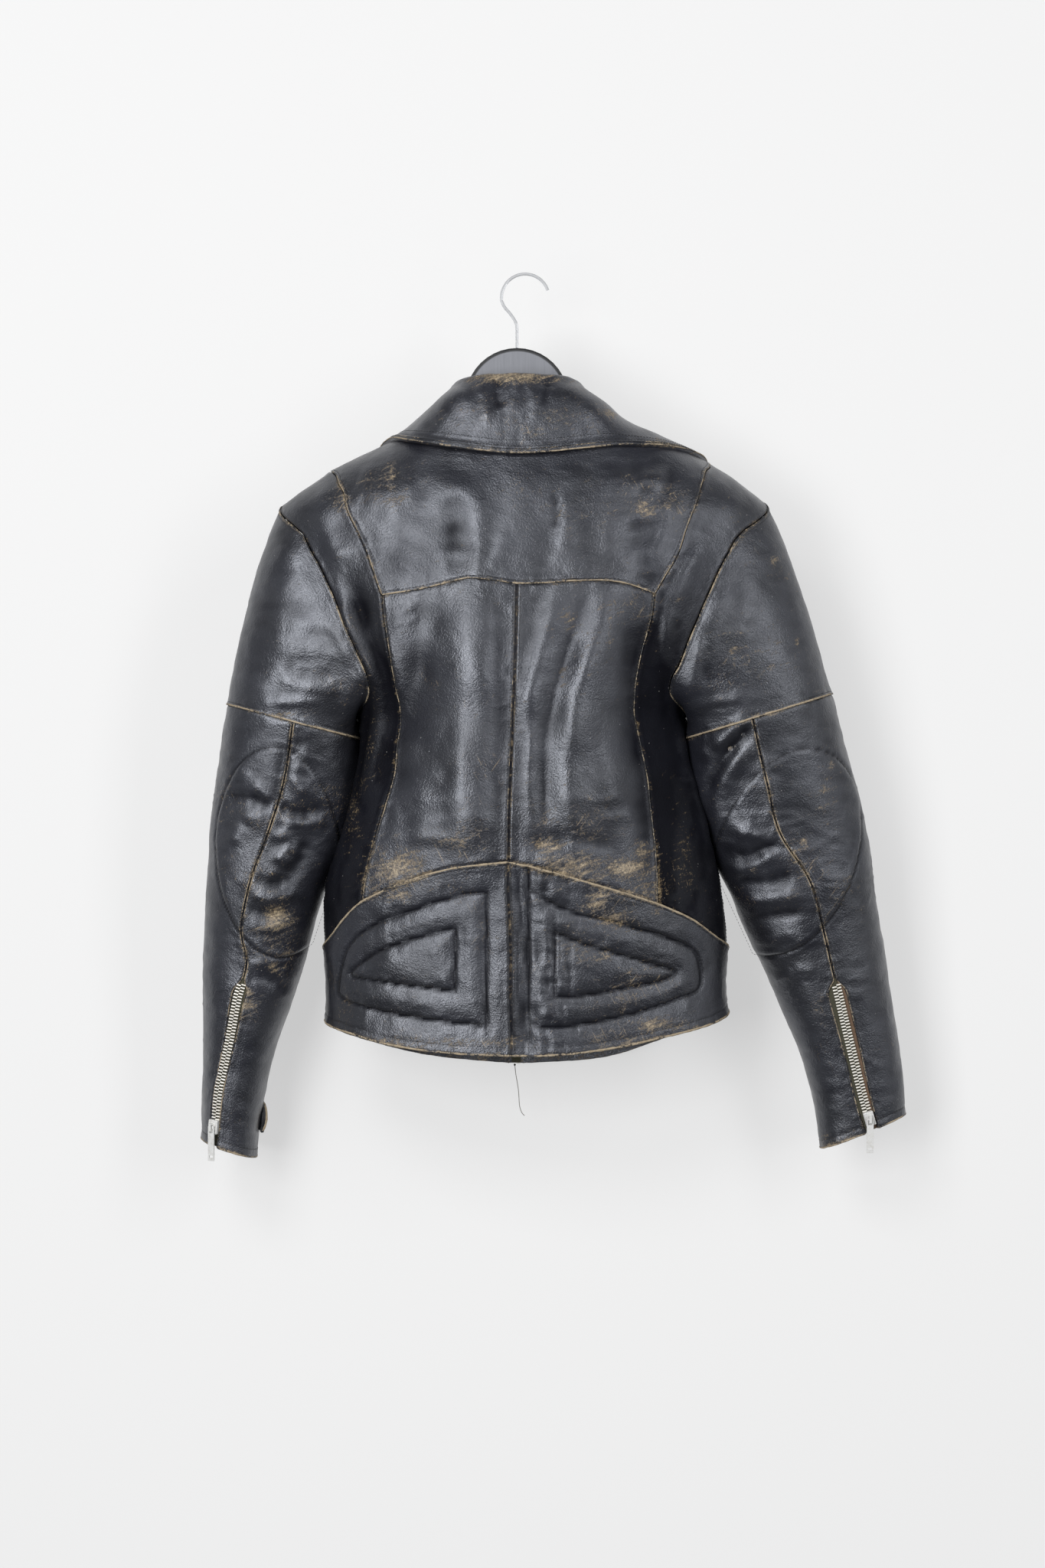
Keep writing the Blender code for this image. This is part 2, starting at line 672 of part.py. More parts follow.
def pulled_back(grid, edges, gap):
    """Move the named edges in by half a seam gap, measured square to the edge."""
    moved = grid.copy()
    last = {"top": (0, 1), "bottom": (-1, -2)}
    for name, (edge, beside) in last.items():
        if name in edges:
            step = grid[beside] - grid[edge]
            along = np.gradient(grid[edge], axis=0)
            moved[edge] += square_step(step, along, gap)
    last = {"left": (0, 1), "right": (-1, -2)}
    for name, (edge, beside) in last.items():
        if name in edges:
            step = grid[:, beside] - grid[:, edge]
            along = np.gradient(grid[:, edge], axis=0)
            moved[:, edge] += square_step(step, along, gap)
    return moved


def square_step(step, along, gap):
    along = along / np.linalg.norm(along, axis=1, keepdims=True)
    square = step - along * (step * along).sum(axis=1, keepdims=True)
    return square / np.linalg.norm(square, axis=1, keepdims=True) * gap


def shell_mesh(node, outer, inner, sign, wrap=False):
    """A closed wall between two grids of points; sign says which way the rows turn."""
    rows, columns = outer.shape[:2]
    shell = bmesh.new()
    faces = []
    layers = [[[shell.verts.new(point) for point in row] for row in to_frame(layer)]
              for layer in (outer, inner)]
    spans = columns if wrap else columns - 1
    for layer, flip in zip(layers, (False, True)):
        for i in range(rows - 1):
            for j in range(spans):
                k = (j + 1) % columns
                quad = [layer[i][j], layer[i][k], layer[i + 1][k], layer[i + 1][j]]
                faces.append(quad[::-1] if flip else quad)
    out, back = layers
    for j in range(spans):
        k = (j + 1) % columns
        faces.append([out[0][k], out[0][j], back[0][j], back[0][k]])
        faces.append([out[-1][j], out[-1][k], back[-1][k], back[-1][j]])
    if not wrap:
        for i in range(rows - 1):
            faces.append([out[i][0], out[i + 1][0], back[i + 1][0], back[i][0]])
            faces.append([out[i + 1][-1], out[i][-1], back[i][-1], back[i + 1][-1]])
    for quad in faces:
        shell.faces.new(quad if sign > 0 else quad[::-1])
    bmesh.ops.triangulate(shell, faces=shell.faces[:])
    mesh = bpy.data.meshes.new(node)
    shell.to_mesh(mesh)
    shell.free()
    return mesh


def leather_panel(node, grid, surface, sign, collection, wall=LEATHER, edges="", wrap=False,
                  base="leather", group="body"):
    normals = surface.normals(grid, group)
    outer = pulled_back(grid, edges, SEAM_GAP / MM / 2)
    inner = outer - normals * wall / MM
    mesh = shell_mesh(node, outer, inner, sign, wrap)
    return add_object(node, mesh, base, collection)


ALL_EDGES = "top bottom left right"


def lay_out_body():
    """The body's panels as grids, their shared surface and the two armholes."""
    surface = Surface()
    blocks = {}
    armholes = {}
    fronts = {}
    for side, name in ((LEFT, "left"), (RIGHT, "right")):
        upper, lower = side_back_blocks(side)
        side_back = surface_grid(np.concatenate([upper, lower[1:]]))
        front = surface_grid(front_half(side))
        blocks["side_back_" + name] = (side_back, -side)
        blocks["back_" + name] = (surface_grid(back_half(side)), -side)
        blocks["kidney_" + name] = (surface_grid(kidney_half(side)), -side)
        blocks["front_" + name] = (front, side)
        fronts[side] = front
        depth = YOKE_ROWS + CHEST_ROWS
        armholes[side] = np.concatenate([side_back[:depth + 1, 0], front[depth - 1:0:-1, 0]])
    halves = [surface_grid(yoke_half(side)) for side in (LEFT, RIGHT)]
    blocks["yoke"] = (np.concatenate([halves[0], halves[1][:, -2::-1]], axis=1), -1)
    strip = front_zip_strip(fronts[LEFT], fronts[RIGHT])
    blocks["front_zip_tape"] = (strip, 1)
    for grid, sign in blocks.values():
        surface.add(grid, sign)
    return surface, blocks, armholes


def lay_out_sleeves(surface, armholes):
    blocks = {}
    for side, name in ((LEFT, "left"), (RIGHT, "right")):
        grid, edges = sleeve_grids(side, armholes[side])
        upper = grid[:UPPER_ROWS + 1]
        lower = grid[UPPER_ROWS:]
        front_seam = RING - QUARTER
        outer = np.concatenate([lower[:, front_seam:], lower[:, :QUARTER + 1]], axis=1)
        inner = lower[:, QUARTER:front_seam + 1].copy()
        zip_rows = slice(ZIP_START_ROW, LOWER_ROWS + 1)
        outer[zip_rows, -1] = edges[zip_rows, 0]
        inner[zip_rows, 0] = edges[zip_rows, 1]
        middle = lower[zip_rows, QUARTER]
        strip = np.stack([edges[zip_rows, 0], middle, edges[zip_rows, 1]], axis=1)
        blocks["sleeve_upper_" + name] = (upper, -side, True)
        blocks["sleeve_outer_" + name] = (outer, -side, False)
        blocks["sleeve_inner_" + name] = (inner, -side, False)
        blocks["cuff_zip_tape_" + name] = (strip, -side, False)
    for node, (grid, sign, wrap) in blocks.items():
        surface.add(grid, sign, wrap, sleeve_group(node))
    return blocks


def sleeve_group(node):
    return "sleeve_left" if node.endswith("_left") else "sleeve_right"


PANEL_EDGES = {
    "yoke": ALL_EDGES,
    "back_": ALL_EDGES,
    "side_back_": ALL_EDGES,
    "kidney_": "top left right",
    "front_": "top left right",
    "front_zip_tape": "left right",
    "sleeve_upper_": "top bottom",
    "sleeve_outer_": "top left right",
    "sleeve_inner_": "top left right",
    "cuff_zip_tape_": "top left right",
}


def edges_of(node):
    fits = [prefix for prefix in PANEL_EDGES if node.startswith(prefix)]
    return PANEL_EDGES[max(fits, key=len)]


def build_garment(collection):
    surface, body, armholes = lay_out_body()
    sleeves = lay_out_sleeves(surface, armholes)
    for node, (grid, sign) in body.items():
        wall = KIDNEY_PAD if node.startswith("kidney_") else LEATHER
        base = "zip_tape" if "zip" in node else "leather"
        leather_panel(node, grid, surface, sign, collection, wall, edges_of(node), base=base)
    for node, (grid, sign, wrap) in sleeves.items():
        base = "zip_tape" if "zip" in node else "leather"
        leather_panel(node, grid, surface, sign, collection, LEATHER, edges_of(node), wrap, base,
                      sleeve_group(node))
    return body, sleeves


# ---------- collar ----------

def clear_of_body(point, gap):
    """Push a point straight out from the body's middle until it clears the leather."""
    x, y, z = point
    left, right, back, front = interpolate(SECTIONS, z)
    middle, half = (left + right) / 2, (left - right) / 2
    depth = back if y >= 0 else front
    across = signed_power((x - middle) / half, SQUARENESS / 2)
    ahead = signed_power(y / depth, SQUARENESS / 2)
    side_share = abs(across) / math.hypot(across, ahead)
    neck_z = neck_height(NECK_BACK_Z if y >= 0 else NECK_FRONT_Z, math.atan2(ahead, across))
    if z > neck_z + gap * NECK_MARGIN:
        return point
    skin = body_surface((math.atan2(ahead, across), z))
    away = math.hypot(skin[0] - middle, skin[1])
    gap = gap * (1 + SLOPING_SHOULDER * side_share)
    if math.hypot(x - middle, y) >= away + gap:
        return point
    share = (away + gap) / away
    return np.array([middle + (skin[0] - middle) * share, skin[1] * share, z])


def stand_foot(body):
    """The stand's foot along the panels' neck edges, just inside and above them."""
    fronts = [body[name][0][0, SIDE_COLUMNS + SHOULDER_COLUMNS:-1]
              for name in ("front_left", "front_right")]
    behind = body["yoke"][0][0, SHOULDER_COLUMNS + 1:SHOULDER_COLUMNS + 2 * NECK_COLUMNS]
    neck = np.concatenate([fronts[0][::-1], behind, fronts[1]])
    inward = -neck * np.array([1.0, 1.0, 0.0])
    inward /= np.linalg.norm(inward, axis=1, keepdims=True)
    return neck + inward * NECK_TUCK + np.array([0, 0, NECK_LIFT])


def collar_profile(row):
    """From the stand over the roll and down the fall."""
    angle, values = math.radians(row[0]), [float(value) for value in row[1:]]
    roll, fall, edge = (np.array(values[i:i + 3]) for i in (0, 3, 6))
    outward = np.array([math.cos(angle), math.sin(angle), 0.0])
    inside = roll - outward * ROLL_HALF - np.array([0, 0, ROLL_DROP])
    over = roll + outward * ROLL_HALF - np.array([0, 0, ROLL_DROP])
    return [inside, roll, over, fall, edge]


def build_collar(body, collection):
    table = np.array([collar_profile(row) for row in COLLAR])
    lines = [resample(stand_foot(body), COLLAR_COLUMNS)]
    lines += [resample(through(table[:, line]), COLLAR_COLUMNS) for line in range(table.shape[1])]
    stations = np.stack(lines, axis=1)
    grid = []
    for station in stations:
        path = through(station, COLLAR_FINE)
        for index in range(FIRST_FALL_POINT, len(path)):
            face = "back" if path[index][1] > 0 else "front"
            path[index] = clear_of_body(path[index], COLLAR_GAP[face])
        grid.append(path)
    grid = np.array(grid).transpose(1, 0, 2)[::COLLAR_ROW_STEP]
    surface = Surface()
    surface.add(grid, 1)
    normals = surface.normals(grid)
    half = COLLAR_WALL / MM / 2
    mesh = shell_mesh("collar", grid + normals * half, grid - normals * half, 1)
    return add_object("collar", mesh, "leather", collection)


# ---------- hanger ----------

def shoulder_height(x, y):
    """How high the leather's outside is over a point, by halving."""
    high, low = float(NECK_SIDE_Z), -250.0
    for _ in range(30):
        z = (high + low) / 2
        left, right, back, front = interpolate(SECTIONS, z)
        depth = back if y >= 0 else front
        reach = (left - right) / 2 * (1 - abs(y / depth) ** SQUARENESS) ** (1 / SQUARENESS)
        if abs(x - (left + right) / 2) < reach:
            low = z
        else:
            high = z
    return (high + low) / 2


ARM_CLEARANCE = 4.6       # leather and play between the arm and the shoulder line
ARM_STOPS = (84, 110, 140, 170, 195, 205)
ARM_TIP = (
    # x, and how far below the last stop's top
    (213, 9), (213, 17), (205, 22), (170, 2), (120, -22), (60, -40), (0, -44),
)
HEAD_CENTRE_Z = -122
HEAD_TURN = 98            # degrees from the top of the head to where the arm starts


def hanger_outline():
    """Half of the hanger from its head round the arm's end to its underside: x, z."""
    head = [(HEAD_RADIUS / MM * math.sin(turn), HEAD_CENTRE_Z + HEAD_RADIUS / MM * math.cos(turn))
            for turn in np.linspace(0, math.radians(HEAD_TURN), 12)]
    half_thickness = HANGER_THICKNESS / MM / 2
    top = []
    for x in ARM_STOPS:
        heights = [shoulder_height(side * x, y)
                   for side in (LEFT, RIGHT) for y in (-half_thickness, half_thickness)]
        top.append((x, min(heights) - ARM_CLEARANCE))
    end_z = top[-1][1]
    return head + top + [(x, end_z - drop) for x, drop in ARM_TIP]


def build_hanger(collection):
    """The outline as a flat blank, drawn out to its thickness, with its edges rounded."""
    half = hanger_outline()
    outline = half + [(-x, z) for x, z in half[-2:0:-1]]
    depth = HANGER_THICKNESS / MM
    blank = bmesh.new()
    corners = [blank.verts.new(point) for point in to_frame([(x, -depth / 2, z)
                                                             for x, z in outline])]
    face = blank.faces.new(corners)
    drawn = bmesh.ops.extrude_face_region(blank, geom=[face])
    moved = [item for item in drawn["geom"] if isinstance(item, bmesh.types.BMVert)]
    bmesh.ops.translate(blank, verts=moved, vec=(0, HANGER_THICKNESS, 0))
    bmesh.ops.recalc_face_normals(blank, faces=blank.faces[:])
    rims = [edge for edge in blank.edges if abs(edge.verts[0].co.y - edge.verts[1].co.y) < 1e-6]
    bmesh.ops.bevel(blank, geom=rims, offset=HANGER_EDGE, segments=2, profile=0.5,
                    affect="EDGES")
    bmesh.ops.triangulate(blank, faces=blank.faces[:])
    mesh = bpy.data.meshes.new("hanger_body")
    blank.to_mesh(mesh)
    blank.free()
    return add_object("hanger_body", mesh, "hanger_wood", collection)


def mesh_of_curve(node, curve):
    """A curve's own shape as one welded mesh."""
    holder = bpy.data.objects.new(node + "_curve", curve)
    bpy.context.scene.collection.objects.link(holder)
    bpy.context.view_layer.update()
    seen = holder.evaluated_get(bpy.context.evaluated_depsgraph_get())
    mesh = bpy.data.meshes.new_from_object(seen)
    bpy.data.objects.remove(holder, do_unlink=True)
    mesh.name = node
    welded = bmesh.new()
    welded.from_mesh(mesh)
    bmesh.ops.remove_doubles(welded, verts=welded.verts[:], dist=0.00001)
    bmesh.ops.recalc_face_normals(welded, faces=welded.faces[:])
    welded.to_mesh(mesh)
    welded.free()
    mesh.materials.clear()
    return mesh


def wire(node, points, diameter, base, collection, resolution=3):
    """A round wire through points that are already in metres."""
    curve = bpy.data.curves.new(node + "_path", "CURVE")
    curve.dimensions = "3D"
    curve.bevel_depth = diameter / 2
    curve.bevel_resolution = resolution
    curve.use_fill_caps = True
    line = curve.splines.new("POLY")
    line.points.add(len(points) - 1)
    for place, point in zip(line.points, points):
        place.co = (*point, 1)
    return add_object(node, mesh_of_curve(node, curve), base, collection)


HOOK_BEND = ((0, -52), (1.2, -46), (7, -37), (12.5, -30.5))     # x, z of the stem's bend
HOOK_TURNS = (-2.3, 162)  # degrees round the hook's centre, from the bend to the tip


def hook_path():
    """Stem, a bend out to the side, and the round hook over the origin: x, z."""
    stem_foot = HEAD_CENTRE_Z + HEAD_RADIUS / MM + SEAM_GAP / MM
    centre_x = -HANG_OFFSET / MM
    centre_z = (HOOK_WIRE / 2 - HOOK_RADIUS) / MM
    radius = HOOK_RADIUS / MM
    first, last = (math.radians(turn) for turn in HOOK_TURNS)
    into_arc = (centre_x + radius, centre_z + radius * first * 3)
    bend = through(HOOK_BEND + (into_arc,), 4)
    arc = [(centre_x + radius * math.cos(t), centre_z + radius * math.sin(t))
           for t in np.linspace(first, last, 18)]
    return [(0, stem_foot)] + [tuple(p) for p in bend] + arc


def build_hook(collection):
    points = to_frame([(x, 0, z) for x, z in hook_path()])
    return wire("hanger_hook", points, HOOK_WIRE, "hook_metal", collection)


# ---------- zip sliders, their pull tabs and the loose thread ----------

SLIDER_WIDTH, SLIDER_DEPTH, SLIDER_LENGTH = 0.0100, 0.0045, 0.0140
SLIDER_LIFT = SEAM_GAP + 0.0004     # the slider's underside above the chain
SLIDER_BEVEL = 0.0008
AXIS_OUT = 0.0022         # the tab's axis above the slider's face
BRIDGE_WIDTH = 0.0024
BRIDGE_BAR = 0.0012
WINDOW_HALF = 0.0022      # room for the tab's bar between the bridge's posts
POST = 0.0016
POST_ROOT = 0.0012        # how far a post reaches into the slider
BAR_SHARE = 0.98          # the bar is this much slimmer than the posts that it joins
SLOT_WIDTH = 0.0038
SLOT_REACH = 0.0056       # from the axis to the far end of the tab's slot
TAB_BAR = 0.0010          # from the axis to the edge of the tab's bar
TAB_HOLE = (0.0052, 0.0028)         # the hole's two ends above the tab's foot
CUFF_SLIDER_ROW, FRONT_SLIDER_ROW = 0.6, 2.3    # rows of the strip from its foot, or its top
FRONT_TAB_SHARE = 0.85    # the front zip's tab against those at the cuffs


def box_mesh(name, size, centre, turn=None, bevel=0.0):
    """A box with rounded edges, at a centre in its own frame."""
    shape = bmesh.new()
    bmesh.ops.create_cube(shape, size=1.0)
    bmesh.ops.scale(shape, vec=size, verts=shape.verts[:])
    if bevel:
        bmesh.ops.bevel(shape, geom=shape.edges[:], offset=bevel, segments=2, profile=0.5,
                        affect="EDGES")
    bmesh.ops.translate(shape, vec=centre, verts=shape.verts[:])
    if turn:
        bmesh.ops.transform(shape, matrix=turn, verts=shape.verts[:])
    bmesh.ops.triangulate(shape, faces=shape.faces[:])
    mesh = bpy.data.meshes.new(name)
    shape.to_mesh(mesh)
    shape.free()
    return mesh


def joined(node, first, others, collection, base):
    """One body from a first mesh and its additions, by exact booleans."""
    piece = add_object(node, first, base, collection)
    for index, mesh in enumerate(others):
        helper = bpy.data.objects.new(f"{node}_tool_{index}", mesh)
        helper.hide_render = True
        helper.display_type = "WIRE"
        tools_collection().objects.link(helper)
        step = piece.modifiers.new("step", "BOOLEAN")
        step.operation = "UNION"
        step.solver = "EXACT"
        step.object = helper
    return piece


def tools_collection():
    found = bpy.data.collections.get("cutters")
    if not found:
        found = bpy.data.collections.new("cutters")
        bpy.context.scene.collection.children.link(found)
    return found


def frame_matrix(across, out, up, place):
    """A local frame with X across, Y out and Z up."""
    turned = Matrix((across, out, up)).transposed().to_4x4()
    return Matrix.Translation(place) @ turned


def zip_place(strip, share):
    """Where a slider sits on a chain: share is counted in rows from the strip's end."""
    rows = len(strip) - 1
    row = min(int(rows - share), rows - 1)
    part = rows - share - row
    upper, lower = to_frame(strip[row]), to_frame(strip[row + 1])
    point = Vector(upper[1] * (1 - part) + lower[1] * part)
    along = Vector(upper[1] - lower[1]).normalized()
    across = Vector(upper[2] - upper[0]).normalized()
    return point, along, across


def build_pull(name, strip, share, outward, tab_length, collection):
    """A slider on the chain and the tab that hangs from its bridge."""
    point, along, across = zip_place(strip, share)
    out = across.cross(along).normalized()
    if out.dot(Vector(outward)) < 0:
        out = -out
    across = along.cross(out).normalized() * -1
    body_place = frame_matrix(across, out, along, point + out * (SLIDER_LIFT + SLIDER_DEPTH / 2))
    level = Vector((out.x, out.y, 0)).normalized()
    up = Vector((0, 0, 1))
    axis = level.cross(up)
    hinge = point + out * (SLIDER_LIFT + SLIDER_DEPTH) + level * AXIS_OUT
    hinge_frame = frame_matrix(axis, level, up, hinge)
    body = box_mesh(name + "_slider", (SLIDER_WIDTH, SLIDER_DEPTH, SLIDER_LENGTH), (0, 0, 0),
                    body_place, SLIDER_BEVEL)
    post_height = AXIS_OUT * 2 + BRIDGE_BAR + POST_ROOT
    post_y = AXIS_OUT + BRIDGE_BAR - post_height / 2
    posts = [box_mesh(f"{name}_post_{index}", (BRIDGE_WIDTH, post_height, POST),
                      (0, post_y, place * (WINDOW_HALF + POST / 2)), hinge_frame)
             for index, place in enumerate((-1, 1))]
    bar_size = (BRIDGE_WIDTH * BAR_SHARE, BRIDGE_BAR * BAR_SHARE, WINDOW_HALF * 2 + POST)
    bar = box_mesh(name + "_bar", bar_size, (0, AXIS_OUT + BRIDGE_BAR / 2, 0), hinge_frame)
    joined(name + "_slider", body, posts + [bar], collection, "zip_metal")
    tab = slotted_tab(name + "_pull", tab_length)
    pull = add_object(name + "_pull", tab, "zip_metal", collection)
    pull.matrix_world = hinge_frame


def slotted_tab(name, length):
    """A flat tab round its axis at the origin: cells of a small grid, two of them left open."""
    columns = (-TAB_WIDTH / 2, -SLOT_WIDTH / 2, SLOT_WIDTH / 2, TAB_WIDTH / 2)
    foot = TAB_BAR - length
    rows = (TAB_BAR, -TAB_BAR, -SLOT_REACH, foot + TAB_HOLE[0], foot + TAB_HOLE[1], foot)
    open_cells = ((1, 1), (3, 1))
    shape = bmesh.new()
    corners = [[shape.verts.new((x, -TAB_THICKNESS / 2, z)) for x in columns] for z in rows]
    faces = []
    for i in range(len(rows) - 1):
        for j in range(len(columns) - 1):
            if (i, j) not in open_cells:
                faces.append(shape.faces.new((corners[i][j], corners[i][j + 1],
                                              corners[i + 1][j + 1], corners[i + 1][j])))
    drawn = bmesh.ops.extrude_face_region(shape, geom=faces)
    moved = [item for item in drawn["geom"] if isinstance(item, bmesh.types.BMVert)]
    bmesh.ops.translate(shape, verts=moved, vec=(0, TAB_THICKNESS, 0))
    bmesh.ops.recalc_face_normals(shape, faces=shape.faces[:])
    bmesh.ops.triangulate(shape, faces=shape.faces[:])
    mesh = bpy.data.meshes.new(name)
    shape.to_mesh(mesh)
    shape.free()
    return mesh


THREAD = 0.0007
THREAD_PATH = (
    # x, z: down from the foot of the front zip
    (2.5, -777.8), (2.0, -782), (1.2, -789), (-0.2, -797), (-1.3, -804), (-1.9, -812),
    (-2.3, -819), (-3.6, -824.5), (-5.4, -828), (-7.4, -830),
)


def build_thread(strip, collection):
    foot = strip[-1].mean(axis=0)
    points = [(x, foot[1], z) for x, z in through(THREAD_PATH, 2)]
    wire("loose_thread", to_frame(points), THREAD, "thread", collection, 2)


def main():
    clear_scene()
    parts = bpy.data.collections.new("worn_leather_jacket")
    bpy.context.scene.collection.children.link(parts)
    body, sleeves = build_garment(parts)
    build_collar(body, parts)
    build_hanger(parts)
    build_hook(parts)
    for name in ("left", "right"):
        build_pull("cuff_zip_" + name, sleeves["cuff_zip_tape_" + name][0], CUFF_SLIDER_ROW,
                   (0, 1, 0), TAB_LENGTH, parts)
    front = body["front_zip_tape"][0]
    build_pull("front_zip", front, len(front) - FRONT_SLIDER_ROW, (0, -1, 0),
               TAB_LENGTH * FRONT_TAB_SHARE, parts)
    build_thread(front, parts)


main()
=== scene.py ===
"""The looks of a worn black leather jacket on a painted wooden hanger.

The jacket's back faces +Y and the wearer's left is +X. Its tables are in millimetres from the
hanger's middle plane and are moved into the frame by to_frame(). Each leather panel is a patch of
one shared surface: folds and wrinkles move the whole surface, so neighbours still meet, and each
panel's edges get their own turned, lapped or hemmed relief.
"""

import math

import bmesh
import bpy
import numpy as np
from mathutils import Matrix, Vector


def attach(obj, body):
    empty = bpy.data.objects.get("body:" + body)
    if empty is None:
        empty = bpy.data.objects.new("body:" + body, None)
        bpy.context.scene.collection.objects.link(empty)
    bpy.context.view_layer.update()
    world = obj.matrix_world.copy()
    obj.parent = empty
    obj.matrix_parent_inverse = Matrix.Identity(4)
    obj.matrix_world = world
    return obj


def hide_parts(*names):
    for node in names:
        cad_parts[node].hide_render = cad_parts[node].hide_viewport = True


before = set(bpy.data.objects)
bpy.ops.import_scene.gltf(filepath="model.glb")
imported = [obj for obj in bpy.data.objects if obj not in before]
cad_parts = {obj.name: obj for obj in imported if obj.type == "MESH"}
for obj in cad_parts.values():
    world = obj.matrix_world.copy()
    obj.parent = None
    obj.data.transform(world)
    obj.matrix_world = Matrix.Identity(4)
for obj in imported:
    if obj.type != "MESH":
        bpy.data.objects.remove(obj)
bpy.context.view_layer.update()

MM = 0.001
LEFT, RIGHT = 1, -1
SIDES = ((LEFT, "left"), (RIGHT, "right"))
BACK, FRONT = 1, -1
HANG_OFFSET = 8.0         # the hook's bend lies beside the hanger's middle plane
LEATHER = 2.0             # walls
KIDNEY_PAD = 5.0
COLLAR_WALL = 3.0
CHAIN_HALF = 4.5
CUFF_CHAIN_HALF = 5.8
SQUARENESS = 2.3          # 2 is an ellipse; more is squarer
STEP = 2.6                # spacing of the panels' grids
KIDNEY_STEP = 2.1
COARSE_STEP = 3.4         # of the hidden fronts
SLEEVE_STEP = 2.5
EDGE_POINTS = 60          # of a straight edge, before its grid is laid out
INNER_POINTS = 40         # of a line across a panel
FOLD_POINTS = 5           # between two of a fold's own points

# Horizontal sections of the body: height, its two sides, and its depth behind and in front
SECTIONS = (
    # z, left, right, back, front
    (-137, 77, -80, 48, 45),
    (-150, 98, -114, 57, 52),
    (-165, 126, -150, 63, 58),
    (-190, 177, -195, 72, 66),
    (-208, 205, -223, 79, 72),
    (-226, 228, -244, 84, 76),
    (-262, 232, -247, 90, 82),
    (-300, 222, -236, 95, 87),
    (-340, 204, -219, 98, 91),
    (-380, 180, -194, 100, 95),
    (-410, 161, -173, 101, 97),
    (-430, 153, -164, 101, 98),
    (-460, 154, -166, 101, 98),
    (-508, 164, -178, 100, 97),
    (-560, 178, -192, 98, 95),
    (-592, 186, -199, 96, 93),
    (-620, 188, -203, 94, 91),
    (-650, 188, -205, 92, 88),
    (-700, 186, -203, 90, 84),
    (-740, 186, -207, 88, 80),
    (-790, 187, -208, 86, 76),
)
SHOULDER_TIP_Z = {LEFT: -226, RIGHT: -222}
YOKE_TOP_Z = {LEFT: -191, RIGHT: -184}
NECK_SIDE_Z = -137
NECK_BACK_Z = -147
NECK_FRONT_Z = -214
NECK_EASE = 4             # more lets the neck seam stay high for longer
UNDERARM_Z = -430
FRONT_ZIP_X = 1
FRONT_FOOT_Z = -777
FRONT_MIDDLE_Z = -440

# Seams on the back, from the top down or from left to right: x, z
ARMHOLE = {
    LEFT: ((212, -252), (196, -278), (182, -306), (173, -326), (161, -351), (149, -376),
           (141, -395), (143, -414)),
    RIGHT: ((-218, -255), (-201, -281), (-188, -308), (-179, -328), (-166, -358),
            (-157, -383), (-151, -398), (-153, -414)),
}
YOKE_SIDE = {
    LEFT: ((175, -199), (171, -209), (165, -222), (147, -268), (129, -317)),
    RIGHT: ((-183, -194), (-180, -203), (-176, -216), (-169, -236), (-153, -280), (-132, -316)),
}
YOKE_HEM = {
    LEFT: ((129, -317), (100, -313), (71, -307), (48, -302), (28, -303), (0, -307)),
    RIGHT: ((0, -307), (-30, -306), (-59, -304), (-88, -304), (-111, -308), (-132, -316)),
}
BACK_SIDE = {
    LEFT: ((129, -317), (122, -372), (117, -440), (122, -496), (135, -547), (149, -611)),
    RIGHT: ((-132, -316), (-121, -382), (-122, -454), (-131, -516), (-136, -577),
            (-136, -613)),
}
CENTRE_BACK = ((0, -307), (3, -414), (7, -516), (8, -572))
KIDNEY_CENTRE = ((8, -572), (6, -680), (5, -758))
KIDNEY_TOP_SIDE = {
    LEFT: ((188, -659), (180, -647), (157, -618), (149, -611)),
    RIGHT: ((-136, -613), (-166, -627), (-192, -646), (-203, -658)),
}
KIDNEY_TOP = {
    LEFT: ((149, -611), (111, -593), (61, -578), (8, -572)),
    RIGHT: ((8, -572), (-28, -580), (-66, -591), (-136, -613)),
}
HEM_BACK = {
    LEFT: ((187, -729), (162, -738), (124, -748), (70, -755), (5, -758)),
    RIGHT: ((5, -758), (-40, -757), (-91, -751), (-150, -739), (-207, -719)),
}
HEM_FRONT = {
    LEFT: ((187, -729), (150, -752), (90, -768)),
    RIGHT: ((-90, -770), (-155, -748), (-207, -719)),
}

# Sleeve rings from the cross seam to the cuff: the outer and inner edge, the middle's place in
# depth, half the depth, and where the elbow seam lies between the outer and the inner edge
SLEEVE_RINGS = {
    LEFT: (
        # outer x, outer z, inner x, inner z, middle y, half depth, seam
        (284, -420, 153, -454, -2, 56, 0.52),
        (294, -487, 154, -503, -10, 54, 0.49),
        (301, -537, 167, -553, -16, 52, 0.45),
        (305, -585, 188, -600, -20, 51, 0.40),
        (308, -635, 203, -648, -26, 49, 0.38),
        (310, -668, 211, -680, -29, 47, 0.47),
        (310, -705, 222, -712, -32, 46, 0.42),
        (310, -750, 238, -757, -36, 44, 0.39),
        (312, -796, 250, -806, -40, 43, 0.32),
        (313, -848, 259, -867, -44, 42, 0.28),
    ),
    RIGHT: (
        (-308, -410, -164, -454, -2, 58, 0.56),
        (-329, -487, -167, -503, -10, 56, 0.54),
        (-342, -537, -181, -553, -16, 54, 0.54),
        (-350, -585, -208, -602, -20, 52, 0.46),
        (-357, -632, -230, -652, -26, 49, 0.46),
        (-363, -666, -246, -685, -29, 46, 0.48),
        (-368, -700, -260, -718, -31, 43, 0.49),
        (-376, -748, -280, -766, -34, 38, 0.51),
        (-382, -792, -293, -812, -36, 34, 0.49),
        (-384, -824, -301, -858, -38, 31, 0.42),
    ),
}
ZIP_START = 0.6           # share of the sleeve's length where the cuff zip begins
SLEEVE_REACH = 0.6        # how far a sleeve keeps the direction in which it leaves the armhole

